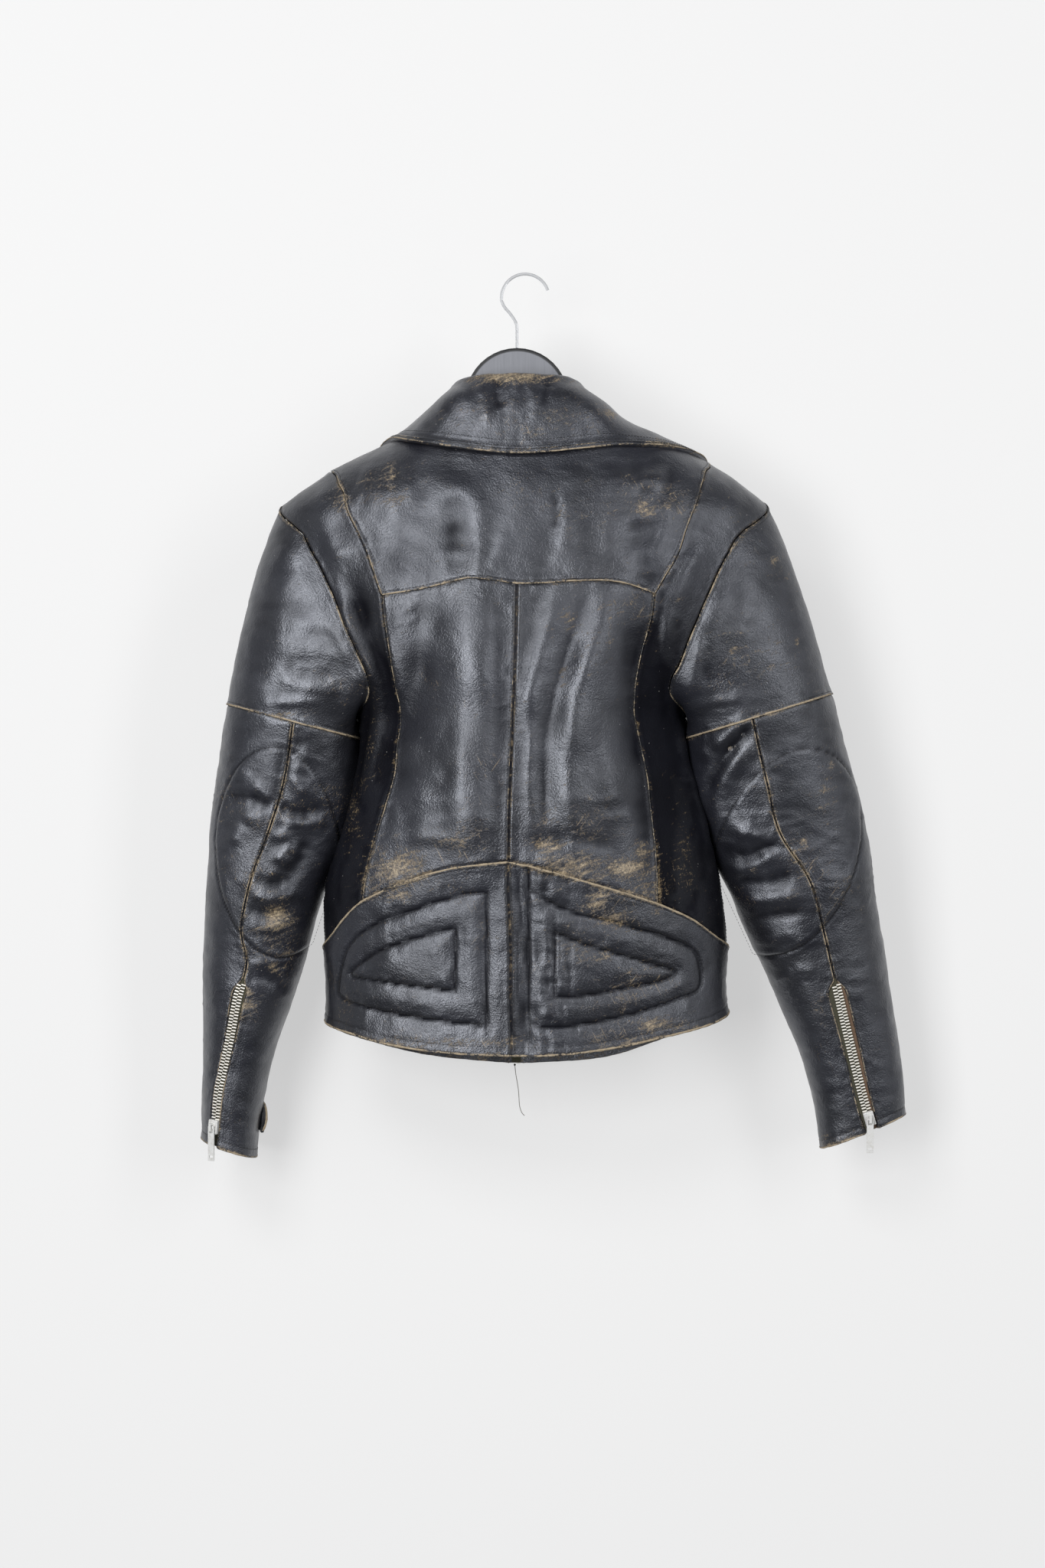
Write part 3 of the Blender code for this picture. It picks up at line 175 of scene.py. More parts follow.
# Collar: its roll line, the middle of its fall and its outer edge, from front to front
COLLAR = (
    # neck angle, roll x, y, z, fall x, y, z, edge x, y, z
    (-80, 17, -60, -196, 44, -78, -226, 66, -84, -262),
    (-52, 46, -47, -156, 82, -71, -188, 108, -76, -236),
    (-24, 61, -22, -122, 96, -42, -148, 122, -44, -185),
    (8, 61, 8, -109, 86, 6, -132, 120, 4, -163),
    (45, 47, 37, -104, 67, 50, -128, 100, 54, -168),
    (90, 0, 49, -102, 0, 66, -136, 0, 74, -181),
    (135, -47, 38, -103, -72, 53, -129, -103, 56, -172),
    (172, -62, 8, -108, -96, 8, -137, -143, 10, -176),
    (204, -62, -22, -122, -100, -42, -154, -140, -46, -203),
    (232, -47, -47, -156, -84, -71, -190, -118, -78, -244),
    (260, -17, -60, -196, -44, -78, -228, -66, -84, -264),
)
NECK_TUCK, NECK_LIFT = 2.4, 3.8
ROLL_HALF, ROLL_DROP = 4.5, 6.0
COLLAR_GAP = {"back": 4.0, "front": 4.4}
SLOPING_SHOULDER = 0.2
NECK_MARGIN = 1.8


# ---------- curves and tables ----------

def unit(vectors):
    return vectors / np.linalg.norm(vectors, axis=-1, keepdims=True)


def direction(points):
    """Which way a row of points runs, at each of them."""
    return unit(np.gradient(points, axis=0))


def bell(value, middle, width):
    """A soft bump: 1 in the middle, falling to nothing about two widths away."""
    return np.exp(-((value - middle) / width) ** 2)


def hermite(start, start_slope, end, end_slope, t):
    return ((2 * t ** 3 - 3 * t ** 2 + 1) * start + (t ** 3 - 2 * t ** 2 + t) * start_slope
            + (3 * t ** 2 - 2 * t ** 3) * end + (t ** 3 - t ** 2) * end_slope)


class Table:
    """Rows that are read smoothly at any value of their first column."""

    def __init__(self, rows):
        rows = sorted(rows)
        self.keys = np.array([row[0] for row in rows], float)
        self.values = np.array([row[1:] for row in rows], float)
        self.slopes = np.gradient(self.values, self.keys, axis=0)

    def at(self, where):
        where = np.clip(np.asarray(where, float), self.keys[0], self.keys[-1])
        i = np.clip(np.searchsorted(self.keys, where) - 1, 0, len(self.keys) - 2)
        span = (self.keys[i + 1] - self.keys[i])[..., None]
        t = (where - self.keys[i])[..., None] / span
        return hermite(self.values[i], self.slopes[i] * span,
                       self.values[i + 1], self.slopes[i + 1] * span, t)


BODY = Table(SECTIONS)
RINGS = {side: Table([(i / (len(rows) - 1),) + row for i, row in enumerate(rows)])
         for side, rows in SLEEVE_RINGS.items()}


def through(points, steps=12, placed=None):
    """A smooth curve through points, as a dense list; placed tells how far apart they lie."""
    points = np.array(points, float)
    if len(points) == 2:
        return np.linspace(points[0], points[1], steps + 1)
    spaced = points if placed is None else placed
    lengths = np.linalg.norm(np.diff(spaced, axis=0), axis=1)
    keys = np.concatenate([[0], np.cumsum(np.sqrt(lengths))])
    slopes = np.gradient(points, keys, axis=0)
    dense = [points[0]]
    for i, span in enumerate(np.diff(keys)):
        for t in np.linspace(0, 1, steps + 1)[1:]:
            dense.append(hermite(points[i], slopes[i] * span,
                                 points[i + 1], slopes[i + 1] * span, t))
    return np.array(dense)


def run_of(points):
    """The distance along a row of points."""
    steps = np.linalg.norm(np.diff(points, axis=0), axis=1)
    return np.concatenate([[0], np.cumsum(steps)])


def read_off(rows, keys, where):
    """Rows read in between, by the keys that go with them."""
    return np.stack([np.interp(where, keys, column) for column in rows.T], axis=1)


def resample(points, stops, placed=None):
    """Points at shares of a dense curve's length; placed gives the space they are measured in."""
    run = run_of(points if placed is None else placed)
    return read_off(points, run, stops * run[-1])


EDGE_STEPS = (0.0, 0.5, 1.1, 1.9, 3.0, 4.4)


def stops_for(length, start=True, end=True, step=STEP):
    """Even shares of a length, with closer ones where an edge is turned or stitched."""
    fine = np.array(EDGE_STEPS)
    low = fine if start else fine[:1]
    high = length - (fine[::-1] if end else fine[:1])
    middle = np.linspace(low[-1], high[0], max(int(round((high[0] - low[-1]) / step)), 2) + 1)
    return np.concatenate([low[:-1], middle, high[1:]]) / length


def coons(top, bottom, left, right, s, t):
    """Fill a patch between four edges that meet at its corners, at the given shares."""
    s = s[None, :, None]
    t = t[:, None, None]
    across = (1 - t) * top[None] + t * bottom[None]
    down = (1 - s) * left[:, None] + s * right[:, None]
    corners = (1 - t) * ((1 - s) * top[0] + s * top[-1]) + t * (
        (1 - s) * bottom[0] + s * bottom[-1])
    return across + down - corners


# ---------- noise ----------

def lattice(ix, iy, iz, seed):
    """A repeatable random number between 0 and 1 at each whole-number place."""
    n = (ix * 374761393 + iy * 668265263 + iz * 1274126177 + seed * 974634777) & 0xffffffff
    n = ((n ^ (n >> 13)) * 1274126177) & 0xffffffff
    n = (n ^ (n >> 16)) & 0xffffffff
    return n / 4294967295.0


def noise(points, scale, seed, stretch=(1, 1, 1)):
    """Smooth noise from -1 to 1; scale is the size of its lumps in millimetres."""
    spot = np.asarray(points, float) / (scale * np.array(stretch, float))
    cell = np.floor(spot).astype(np.int64)
    share = spot - cell
    share = share * share * (3 - 2 * share)
    total = np.zeros(spot.shape[:-1])
    for dx in (0, 1):
        for dy in (0, 1):
            for dz in (0, 1):
                weight = ((share[..., 0] if dx else 1 - share[..., 0])
                          * (share[..., 1] if dy else 1 - share[..., 1])
                          * (share[..., 2] if dz else 1 - share[..., 2]))
                total += weight * lattice(cell[..., 0] + dx, cell[..., 1] + dy,
                                          cell[..., 2] + dz, seed)
    return total * 2 - 1


# ---------- the body's surface ----------

def signed_power(value, power):
    return np.sign(value) * np.abs(value) ** power


def body_point(angle, z):
    """The body at an angle round it (0 is the left side, 90 degrees the back) and a height."""
    angle, z = np.asarray(angle, float), np.asarray(z, float)
    left, right, back, front = np.moveaxis(BODY.at(z), -1, 0)
    depth = np.where(np.sin(angle) >= 0, back, front)
    x = (left + right) / 2 + (left - right) / 2 * signed_power(np.cos(angle), 2 / SQUARENESS)
    y = depth * signed_power(np.sin(angle), 2 / SQUARENESS)
    return np.stack([x, y, z + 0 * angle], axis=-1)


def body_normal(angle, z):
    across = body_point(angle + 0.01, z) - body_point(angle - 0.01, z)
    up = body_point(angle, z) - body_point(angle, z - 2)
    return unit(np.cross(across, up))


def on_body(pairs, found=body_point):
    """The body's points, or its normals, at pairs of an angle and a height."""
    return found(pairs[..., 0], pairs[..., 1])


def body_angle(x, z, face):
    left, right = BODY.at(z)[:2]
    share = min(max((x - (left + right) / 2) / ((left - right) / 2), -1), 1)
    return face * math.acos(signed_power(share, SQUARENESS / 2))


def side_angle(side, face):
    return 0.0 if side == LEFT else face * math.pi


def seam(points, face=BACK, ends=(None, None)):
    """A seam given in x and z, as a dense line of angles and heights on the body."""
    pairs = [[body_angle(x, z, face), z] for x, z in points]
    for index, angle in zip((0, -1), ends):
        if angle is not None:
            pairs[index][0] = angle
    return through(np.array(pairs), 16, on_body(np.array(pairs)))


def upright(angle, z_from, z_to):
    return np.array([(angle, z) for z in np.linspace(z_from, z_to, EDGE_POINTS)])


def length_of(pairs):
    return run_of(on_body(pairs))[-1]


def even(pairs, stops):
    return resample(pairs, stops, on_body(pairs))


def joined(*lines):
    """Lines that follow one another, without their doubled corners."""
    return np.concatenate([lines[0]] + [line[1:] for line in lines[1:]])


def from_side(points, side):
    """The tables run from left to right; a half's own columns start at its side."""
    return points if side == LEFT else points[::-1]


def patch(top, bottom, left, right, ends=(True, True), sides=(True, True), step=STEP, s=None):
    """A panel's grid of angles and heights; ends and sides say which edges are finer."""
    if s is None:
        s = stops_for((length_of(top) + length_of(bottom)) / 2, *sides, step)
    t = stops_for((length_of(left) + length_of(right)) / 2, *ends, step)
    return coons(even(top, s), even(bottom, s), even(left, t), even(right, t), s, t)


def tall_patch(top, middle, bottom, lefts, rights, step=STEP):
    """Two patches, one above the other, that share their columns."""
    s = stops_for((length_of(top) + length_of(middle)) / 2, step=step)
    upper = patch(top, middle, lefts[0], rights[0], (True, False), step=step, s=s)
    lower = patch(middle, bottom, lefts[1], rights[1], (False, True), step=step, s=s)
    return np.concatenate([upper, lower[1:]])


# ---------- folds: soft ridges and troughs, at listed places --------

SIDE_FOLDS = (
    # course x, z, width, height outwards
    (((158, -500), (172, -560)), 30, -6),
    (((147, -426), (150, -452)), 15, 8),
    (((-156, -426), (-160, -454)), 15, 8),
    (((-170, -500), (-186, -564)), 30, -6),
)
FRONT_FOLDS = (
    (((60, -260), (96, -420)), 20, 4),
    (((-70, -270), (-92, -430)), 20, 4),
    (((110, -430), (60, -600)), 18, -4),
    (((-116, -430), (-56, -590)), 18, -4),
    (((90, -600), (110, -740)), 20, 4),
    (((-96, -590), (-120, -740)), 20, 4),
    (((150, -300), (120, -360)), 11, -3),
    (((-160, -300), (-124, -350), (-110, -420)), 12, -3.5),
    (((36, -330), (52, -420), (40, -520)), 12, 2.6),
    (((-30, -360), (-48, -470), (-36, -600)), 13, 2.8),
    (((140, -480), (96, -540), (84, -610)), 10, -3),
    (((-150, -500), (-120, -560)), 11, 2.6),
    (((30, -640), (60, -700), (54, -760)), 10, -2.4),
)
BACK_FOLDS = (
    (((80, -228), (66, -218), (52, -216), (40, -228), (36, -258), (41, -300)), 9, 1.7),
    (((66, -240), (60, -264), (60, -300)), 13, -2.0),
    (((92, -244), (98, -270), (110, -300)), 17, 1.5),
    (((157, -213), (126, -222), (97, -219)), 24, 2.4),
    (((-35, -219), (-38, -238), (-36, -254)), 3, -1.0),
    (((-45, -219), (-46, -251), (-37, -295)), 8, 1.5),
    (((-102, -216), (-121, -206), (-147, -209)), 10, 3.0),
    (((-116, -240), (-124, -276), (-130, -310)), 17, -3.0),
    (((-90, -238), (-87, -267), (-93, -295)), 9, 1.0),
    (((-150, -222), (-139, -263), (-128, -298)), 9, 1.6),
    (((12, -254), (21, -279), (24, -298)), 8, 0.9),
    (((40, -306), (42, -355), (46, -412), (50, -463), (50, -511), (46, -568)), 25, 6.4),
    (((88, -322), (96, -400), (114, -463), (122, -517)), 19, -5.6),
    (((20, -317), (16, -444), (22, -555)), 12, -2.4),
    (((84, -500), (88, -560)), 22, 2.6),
    (((121, -336), (108, -332), (96, -329)), 3.2, 0.7),
    (((121, -346), (107, -344), (93, -338)), 3.5, 0.5),
    (((119, -362), (113, -412), (113, -444)), 8, 1.6),
    (((-40, -310), (-30, -349), (-19, -388), (-12, -419), (-10, -450)), 12, 3.8),
    (((-86, -306), (-80, -349), (-68, -380), (-58, -410), (-52, -450), (-52, -510),
      (-58, -550)), 19, 6.4),
    (((-60, -330), (-43, -390), (-32, -431), (-27, -490), (-28, -540)), 11, -3.4),
    (((-116, -312), (-118, -400), (-124, -476), (-130, -540), (-132, -590)), 24, -8.0),
    (((-14, -438), (-11, -507), (-14, -533)), 6, 1.8),
    (((-84, -480), (-92, -540)), 20, 2.2),
    (((-7, -556), (-49, -552), (-90, -556)), 9, -2.4),
    (((-17, -571), (-55, -571)), 9, 1.2),
    (((174, -308), (157, -352), (139, -390), (135, -422), (140, -463), (147, -507)), 6.5, 6.0),
    (((162, -301), (145, -349), (126, -400), (123, -444), (132, -479)), 9, -5.0),
    (((190, -232), (180, -263), (167, -286)), 10, 2.2),
    (((-179, -263), (-160, -298), (-147, -330), (-141, -365), (-138, -390)), 9, 3.6),
    (((-144, -393), (-152, -428), (-157, -463)), 9, -4.6),
    (((-154, -438), (-168, -476), (-179, -511), (-189, -568)), 7, 6.0),
    (((-106, -517), (-128, -568)), 8, 1.2),
)
SLEEVE_FOLDS = {
    LEFT: (
        (((225, -255), (222, -309), (226, -378)), 22, 3.0),
        (((189, -334), (170, -358), (162, -384)), 8, 1.6),
        (((222, -369), (195, -366), (170, -377)), 8, 1.0),
        (((230, -383), (200, -394), (170, -391)), 9, -1.0),
        (((245, -394), (205, -404), (170, -409)), 7, 1.2),
        (((250, -418), (189, -420)), 6, 1.8),
        (((212, -434), (202, -458), (204, -477)), 10, 2.4),
        (((222, -463), (227, -487), (234, -518)), 6, -2.4),
        (((216, -477), (213, -497), (195, -510)), 8, 3.0),
        (((234, -518), (260, -492), (271, -481)), 8, 2.6),
        (((237, -520), (260, -510), (279, -510)), 7, -2.8),
        (((240, -527), (262, -531), (277, -556)), 9, 2.8),
        (((231, -521), (207, -527), (189, -523)), 6, -3.2),
        (((227, -532), (204, -537), (186, -532)), 6, 2.4),
        (((232, -541), (222, -556), (234, -577)), 9, 3.6),
        (((204, -552), (213, -576), (232, -590)), 7, -3.6),
        (((252, -591), (235, -595), (217, -588)), 5, -2.6),
        (((259, -603), (240, -609), (214, -605)), 6, 2.6),
        (((261, -619), (240, -624), (220, -619)), 6, -2.2),
        (((262, -635), (245, -638), (225, -635)), 6, 1.8),
        (((263, -675), (245, -673), (222, -685)), 6, 1.6),
        (((264, -688), (245, -688), (225, -700)), 6, -1.6),
        (((289, -487), (293, -547), (289, -606)), 12, 1.4),
    ),
    RIGHT: (
        (((-195, -309), (-180, -354), (-169, -398), (-164, -423)), 11, 3.8),
        (((-229, -299), (-215, -339), (-205, -373)), 12, 1.6),
        (((-186, -334), (-181, -373), (-184, -408)), 7, -1.8),
        (((-161, -428), (-186, -420), (-220, -414)), 6, 1.6),
        (((-219, -431), (-196, -456), (-174, -472)), 8, 3.6),
        (((-228, -439), (-203, -469), (-182, -507)), 6, -4.0),
        (((-225, -458), (-207, -481), (-196, -507), (-195, -547)), 8, 3.4),
        (((-248, -467), (-243, -487), (-254, -527)), 8, 1.4),
        (((-254, -550), (-225, -545), (-205, -532)), 7, 3.0),
        (((-251, -556), (-220, -567), (-199, -562)), 6, -3.6),
        (((-253, -565), (-228, -578), (-205, -580)), 7, 2.4),
        (((-268, -586), (-243, -592), (-215, -591)), 6, -3.0),
        (((-276, -604), (-251, -609), (-220, -612)), 7, 3.0),
        (((-279, -621), (-253, -625), (-228, -629)), 6, -2.4),
        (((-287, -646), (-261, -646), (-240, -652)), 7, 1.6),
        (((-294, -680), (-276, -681), (-255, -690)), 7, 1.4),
        (((-329, -487), (-338, -547), (-339, -596)), 12, 1.4),
    ),
}
# Hidden sides of the sleeves get the same sort of folds
SLEEVE_FRONT_FOLDS = {
    LEFT: (
        (((290, -560), (230, -590)), 14, -4),
        (((226, -280), (220, -370)), 18, 3),
        (((200, -470), (240, -520), (292, -540)), 9, 3),
        (((206, -560), (250, -584), (296, -590)), 8, -3),
        (((214, -610), (262, -618), (300, -640)), 9, 2.6),
        (((230, -690), (280, -700)), 8, -2),
        (((300, -740), (262, -760)), 7, 1.6),
    ),
    RIGHT: (
        (((-320, -560), (-250, -590)), 14, -4),
        (((-222, -290), (-206, -380)), 17, 3),
        (((-190, -460), (-240, -500), (-312, -520)), 9, 3),
        (((-206, -540), (-260, -560), (-330, -590)), 8, -3),
        (((-230, -620), (-290, -634), (-344, -640)), 9, 2.6),
        (((-256, -690), (-320, -704)), 8, -2),
        (((-360, -750), (-300, -770)), 7, 1.6),
    ),
}
ELBOW_PADS = {
    # centre x, z, half width, half height, lean to the side
    LEFT: (233, -565, 61, 104, 0.03),
    RIGHT: (-263, -565, 71, 103, -0.20),
}


# Unevenness: height, size of its lumps, seed, stretch
BODY_LUMPS = ((1.1, 38, 3, (0.8, 1, 1.6)), (0.48, 13, 4, (1, 1, 1.5)))
SLEEVE_LUMPS = ((0.8, 30, 11, (1.2, 1, 1)), (0.4, 11, 12, (1.6, 1, 0.8)))
COLLAR_LUMPS = ((0.7, 26, 31, (1, 1, 1)), (0.35, 9, 32, (1, 1, 1.6)))
QUILT_LUMPS = ((1.7, 13, 22, (0.55, 1, 2.2)), (0.8, 5, 23, (1.6, 1, 0.7)))


def lumps(points, table):
    return sum(height * noise(points, *row) for height, *row in table)


def distance_to(points, x, z):
    """The nearest distance to a line, signed by side, and the share of its length there."""
    line = through(points, FOLD_POINTS)
    run = run_of(line)
    best = np.full(x.shape, np.inf)
    share = np.zeros(x.shape)
    sign = np.ones(x.shape)
    for (x0, z0), (x1, z1), start, end in zip(line, line[1:], run, run[1:]):
        dx, dz = x1 - x0, z1 - z0
        t = np.clip(((x - x0) * dx + (z - z0) * dz) / (dx * dx + dz * dz), 0, 1)
        away = np.hypot(x - x0 - t * dx, z - z0 - t * dz)
        nearer = away < best
        best = np.where(nearer, away, best)
        share = np.where(nearer, (start + t * (end - start)) / run[-1], share)
        sign = np.where(nearer, np.sign((x - x0) * dz - (z - z0) * dx), sign)
    return best, share, sign


def fold(points, width, height, x, z):
    """One soft ridge or trough: steeper on one side, uneven along its length, fading out."""
    rise = np.zeros(x.shape)
    xs, zs = zip(*points)
    reach = 3 * width
    near = ((x > min(xs) - reach) & (x < max(xs) + reach)
            & (z > min(zs) - reach) & (z < max(zs) + reach))
    if not near.any():
        return rise
    away, share, sign = distance_to(points, x[near], z[near])
    phase = points[0][0] * 0.37 + points[0][1] * 0.11
    uneven = 1 + 0.22 * np.sin(share * 9 + phase) + 0.12 * np.sin(share * 23 + phase * 2)
    ends = np.clip(np.minimum(share, 1 - share) * 5 + 0.25, 0, 1)
    broad = width * (1 + 0.18 * sign) * (1 + 0.15 * np.sin(share * 7 + phase))
    rise[near] = height * uneven * ends * bell(away, 0, broad)
    return rise


def folds(table, x, z):
    rise = np.zeros(x.shape)
    for course, width, height in table:
        rise += fold(course, width, height, x, z)
    return rise


def creases(points, scale, seed, stretch):
    """Thin sharp creases, from 0 to 1."""
    return (1 - np.abs(noise(points, scale, seed, stretch))) ** 6


def facing(normal_y, side):
    """How much a surface looks back or forward, from 0 to 1."""
    return np.clip(normal_y * side, 0, 1) ** 0.5


def body_relief(points, turn):
    """How far the body's leather stands out from its sections."""
    x, z = points[..., 0], points[..., 2]
    sine = np.sin(turn)
    rise = folds(SIDE_FOLDS, x, z) * bell(sine, -0.25, 0.3)
    rise += folds(FRONT_FOLDS, x, z) * facing(sine, FRONT)
    rise += folds(BACK_FOLDS, x, z) * facing(sine, BACK)
    rise += lumps(points, BODY_LUMPS)
    strength = np.clip(noise(points, 60, 6) + 0.35, 0, 1)
    return rise + 0.5 * creases(points, 17, 5, (1.3, 1, 0.7)) * strength


# ---------- the body's panels as grids of angles and heights ----------

PARTING_RISE = 8          # how far above the yoke's corner the side panel changes its columns
ZIP_EDGE = CHAIN_HALF + 1.5
ZIP_ROWS, ZIP_COLUMNS = 150, 7


def yoke_side_edge(side):
    ends = side_angle(side, BACK)
    start = (body_point(ends, YOKE_TOP_Z[side])[0], YOKE_TOP_Z[side])
    return seam((start,) + YOKE_SIDE[side], BACK, (ends, None))


def armhole_edge(side, face):
    ends = side_angle(side, face)
    tip = (body_point(ends, SHOULDER_TIP_Z[side])[0], SHOULDER_TIP_Z[side])
    low = (body_point(ends, UNDERARM_Z)[0], UNDERARM_Z)
    return seam((tip,) + ARMHOLE[side] + (low,), face, (ends, ends))


def kidney_side_edge(side):
    ends = side_angle(side, BACK)
    return seam(from_side(KIDNEY_TOP_SIDE[side], side), BACK, (ends, None))


def neck_height(middle_z, turn):
    return NECK_SIDE_Z + (middle_z - NECK_SIDE_Z) * np.abs(np.sin(turn)) ** NECK_EASE


def neck_edge(side, face, end_angle, end_z):
    start = side_angle(side, face)
    t = np.linspace(0, 1, EDGE_POINTS)
    return np.stack([start + (end_angle - start) * t, neck_height(end_z, t * math.pi / 2)], 1)


def side_back(side):
    ends = side_angle(side, BACK)
    shoulder = upright(ends, SHOULDER_TIP_Z[side], YOKE_TOP_Z[side])
    armhole = armhole_edge(side, BACK)
    parting = int(np.argmin(np.abs(armhole[:, 1] - YOKE_SIDE[side][-1][1] + PARTING_RISE)))
    yoke_side, kidney = yoke_side_edge(side), kidney_side_edge(side)
    across = np.linspace(armhole[parting], yoke_side[-1], INNER_POINTS)
    low_left = joined(armhole[parting:], upright(ends, UNDERARM_Z, kidney[0][1]))
    return tall_patch(shoulder, across, kidney, (armhole[:parting + 1], low_left),
                      (yoke_side, seam(BACK_SIDE[side])))


def yoke_half(side):
    ends = side_angle(side, BACK)
    shoulder = upright(ends, YOKE_TOP_Z[side], NECK_SIDE_Z)
    top = joined(shoulder, neck_edge(side, BACK, math.pi / 2, NECK_BACK_Z))
    hem = seam(from_side(YOKE_HEM[side], side))
    middle = np.linspace(top[-1], hem[-1], INNER_POINTS)
    return patch(top, hem, yoke_side_edge(side), middle, sides=(True, False))


def yoke():
    halves = [yoke_half(side) for side in (LEFT, RIGHT)]
    rows = max(len(half) for half in halves)
    halves = [respaced(half, rows) for half in halves]
    return np.concatenate([halves[0], halves[1][:, -2::-1]], axis=1)


def respaced(grid, rows):
    """The same grid with another number of rows."""
    old, new = np.linspace(0, 1, len(grid)), np.linspace(0, 1, rows)
    made = read_off(grid.reshape(len(grid), -1), old, new)
    return made.reshape(rows, *grid.shape[1:])


def back_half(side):
    hem = seam(from_side(YOKE_HEM[side], side))
    low = seam(from_side(KIDNEY_TOP[side], side))
    return patch(hem, low, seam(BACK_SIDE[side]), seam(CENTRE_BACK))


def kidney_half(side):
    ends = side_angle(side, BACK)
    top = joined(kidney_side_edge(side), seam(from_side(KIDNEY_TOP[side], side)))
    hem = seam(from_side(HEM_BACK[side], side), BACK, (ends, None))
    side_edge = upright(ends, top[0][1], hem[0][1])
    return patch(top, hem, side_edge, seam(KIDNEY_CENTRE), step=KIDNEY_STEP)


def front_half(side):
    """A front from the armhole and side seam to the zip."""
    ends = side_angle(side, FRONT)
    zip_x = FRONT_ZIP_X + side * CHAIN_HALF
    neck_end = body_angle(zip_x, NECK_FRONT_Z, FRONT)
    top = joined(upright(ends, SHOULDER_TIP_Z[side], NECK_SIDE_Z),
                 neck_edge(side, FRONT, neck_end, NECK_FRONT_Z))
    across = seam((tuple(body_point(ends, UNDERARM_Z)[[0, 2]]), (zip_x, FRONT_MIDDLE_Z)),
                  FRONT, (ends, None))
    hem = seam(from_side(HEM_FRONT[side], side) + ((zip_x, FRONT_FOOT_Z),), FRONT, (ends, None))
    outer = (armhole_edge(side, FRONT), upright(ends, UNDERARM_Z, hem[0][1]))
    zip_edge = [seam(((zip_x, start), (zip_x, end)), FRONT) for start, end in
                ((NECK_FRONT_Z, FRONT_MIDDLE_Z), (FRONT_MIDDLE_Z, FRONT_FOOT_Z))]
    return tall_patch(top, across, hem, outer, zip_edge, COARSE_STEP)


def zip_strip():
    """The tape between the two fronts."""
    rims = []
    for side in (LEFT, RIGHT):
        x = FRONT_ZIP_X + side * ZIP_EDGE
        edge = seam(((x, NECK_FRONT_Z), (x, FRONT_FOOT_Z)), FRONT)
        rims.append(even(edge, np.linspace(0, 1, ZIP_ROWS)))
    return np.linspace(*rims, ZIP_COLUMNS, axis=1)


# ---------- sleeves ----------

ZIP_OPENS = 0.05          # share of the sleeve over which the zip's opening widens
ELBOW_Z, ELBOW_REACH = -560, 60
SLEEVE_FOLD_SHARE = 0.85
ARMHOLE_POINTS = 90
UPPER_ROWS, UPPER_COLUMNS = 52, 150
# Which way the sleeve leaves the armhole at its top, its sides and its lowest place
LEAVING_TOP, LEAVING_SIDE, LEAVING_LOW = (0.45, 0, -0.89), (0.92, 0.2, -0.35), (0.95, 0, -0.3)
SLEEVE_RADIUS = 54        # turns the zip's half width into an angle round the sleeve


def sleeve_point(side, turn, share):
    """The sleeve below the cross seam at a turn round it and a share of its length."""
    xo, zo, xi, zi, middle_y, depth = np.moveaxis(RINGS[side].at(share), -1, 0)[:6]
    middle = np.stack([(xo + xi) / 2, middle_y, (zo + zi) / 2], -1)
    across = np.stack([(xo - xi) / 2, 0 * xo, (zo - zi) / 2], -1)
    c = signed_power(np.cos(turn), 2 / SQUARENESS)
    s = signed_power(np.sin(turn), 2 / SQUARENESS)
    behind = np.stack([0 * xo, depth * s, 0 * xo], -1)
    return middle + across * c[..., None] + behind


def sleeve_normal(side, turn, share):
    around = sleeve_point(side, turn + 0.01, share) - sleeve_point(side, turn - 0.01, share)
    low = np.clip(share, 0.004, 0.996)
    along = sleeve_point(side, turn, low - 0.004) - sleeve_point(side, turn, low + 0.004)
    return unit(side * np.cross(around, along))


def seam_turn(side, share):
    """Where the elbow seam lies round the sleeve."""
    place = RINGS[side].at(share)[..., 6]
    return np.arccos(signed_power(1 - 2 * place, SQUARENESS / 2))


def opening(share):
    """Half the gap that the cuff zip leaves between the sleeve's two pieces."""
    t = np.clip((share - ZIP_START) / ZIP_OPENS, 0, 1)
    return CUFF_CHAIN_HALF * t * t * (3 - 2 * t)


def sleeve_grid(side, piece, share, columns):
    """Turns for every row of a piece; columns are shares from its first edge to its last."""
    gap = opening(share) / SLEEVE_RADIUS
    seam_at = seam_turn(side, share)
    if piece == "outer":
        stops = np.stack([-math.pi / 2 + 0 * share, 0 * share, seam_at - gap], 1)
    else:
        stops = np.stack([seam_at + gap, math.pi + 0 * share, 1.5 * math.pi + 0 * share], 1)
    turns = np.array([np.interp(columns, (0, 0.5, 1), row) for row in stops])
    return turns, np.repeat(share[:, None], len(columns), 1)


def leaving_direction(side, quarter):
    """Which way the sleeve leaves the armhole, by quarters round it from the top backwards."""
    sine, cosine = (f(quarter * math.pi / 2)[:, None] for f in (np.sin, np.cos))
    way = (np.maximum(cosine, 0) * LEAVING_TOP + np.maximum(-cosine, 0) * np.array(LEAVING_LOW)
           + np.abs(sine) * LEAVING_SIDE)
    return unit(way * np.concatenate([side + 0 * sine, np.sign(sine), 1 + 0 * sine], 1))


def upper_sleeve(side):
    """From the armhole to the cross seam; closed round, its first column at the top."""
    quarter = np.arange(UPPER_COLUMNS) * 4 / UPPER_COLUMNS
    loop = armhole_loop(side, quarter)
    share = np.zeros(UPPER_COLUMNS)
    seam_at = seam_turn(side, np.zeros(1))[0]
    turn = np.interp(quarter, (0, 1, 2, 3, 4), (0, seam_at, math.pi, 1.5 * math.pi, 2 * math.pi))
    first = sleeve_point(side, turn, share)
    arriving = unit(sleeve_point(side, turn, share + 0.08) - first)
    length = np.linalg.norm(first - loop, axis=1, keepdims=True)
    reach = SLEEVE_REACH * length
    t = stops_for(length.mean(), step=length.mean() / UPPER_ROWS)[:, None, None]
    return hermite(loop, leaving_direction(side, quarter) * reach, first, arriving * reach, t)


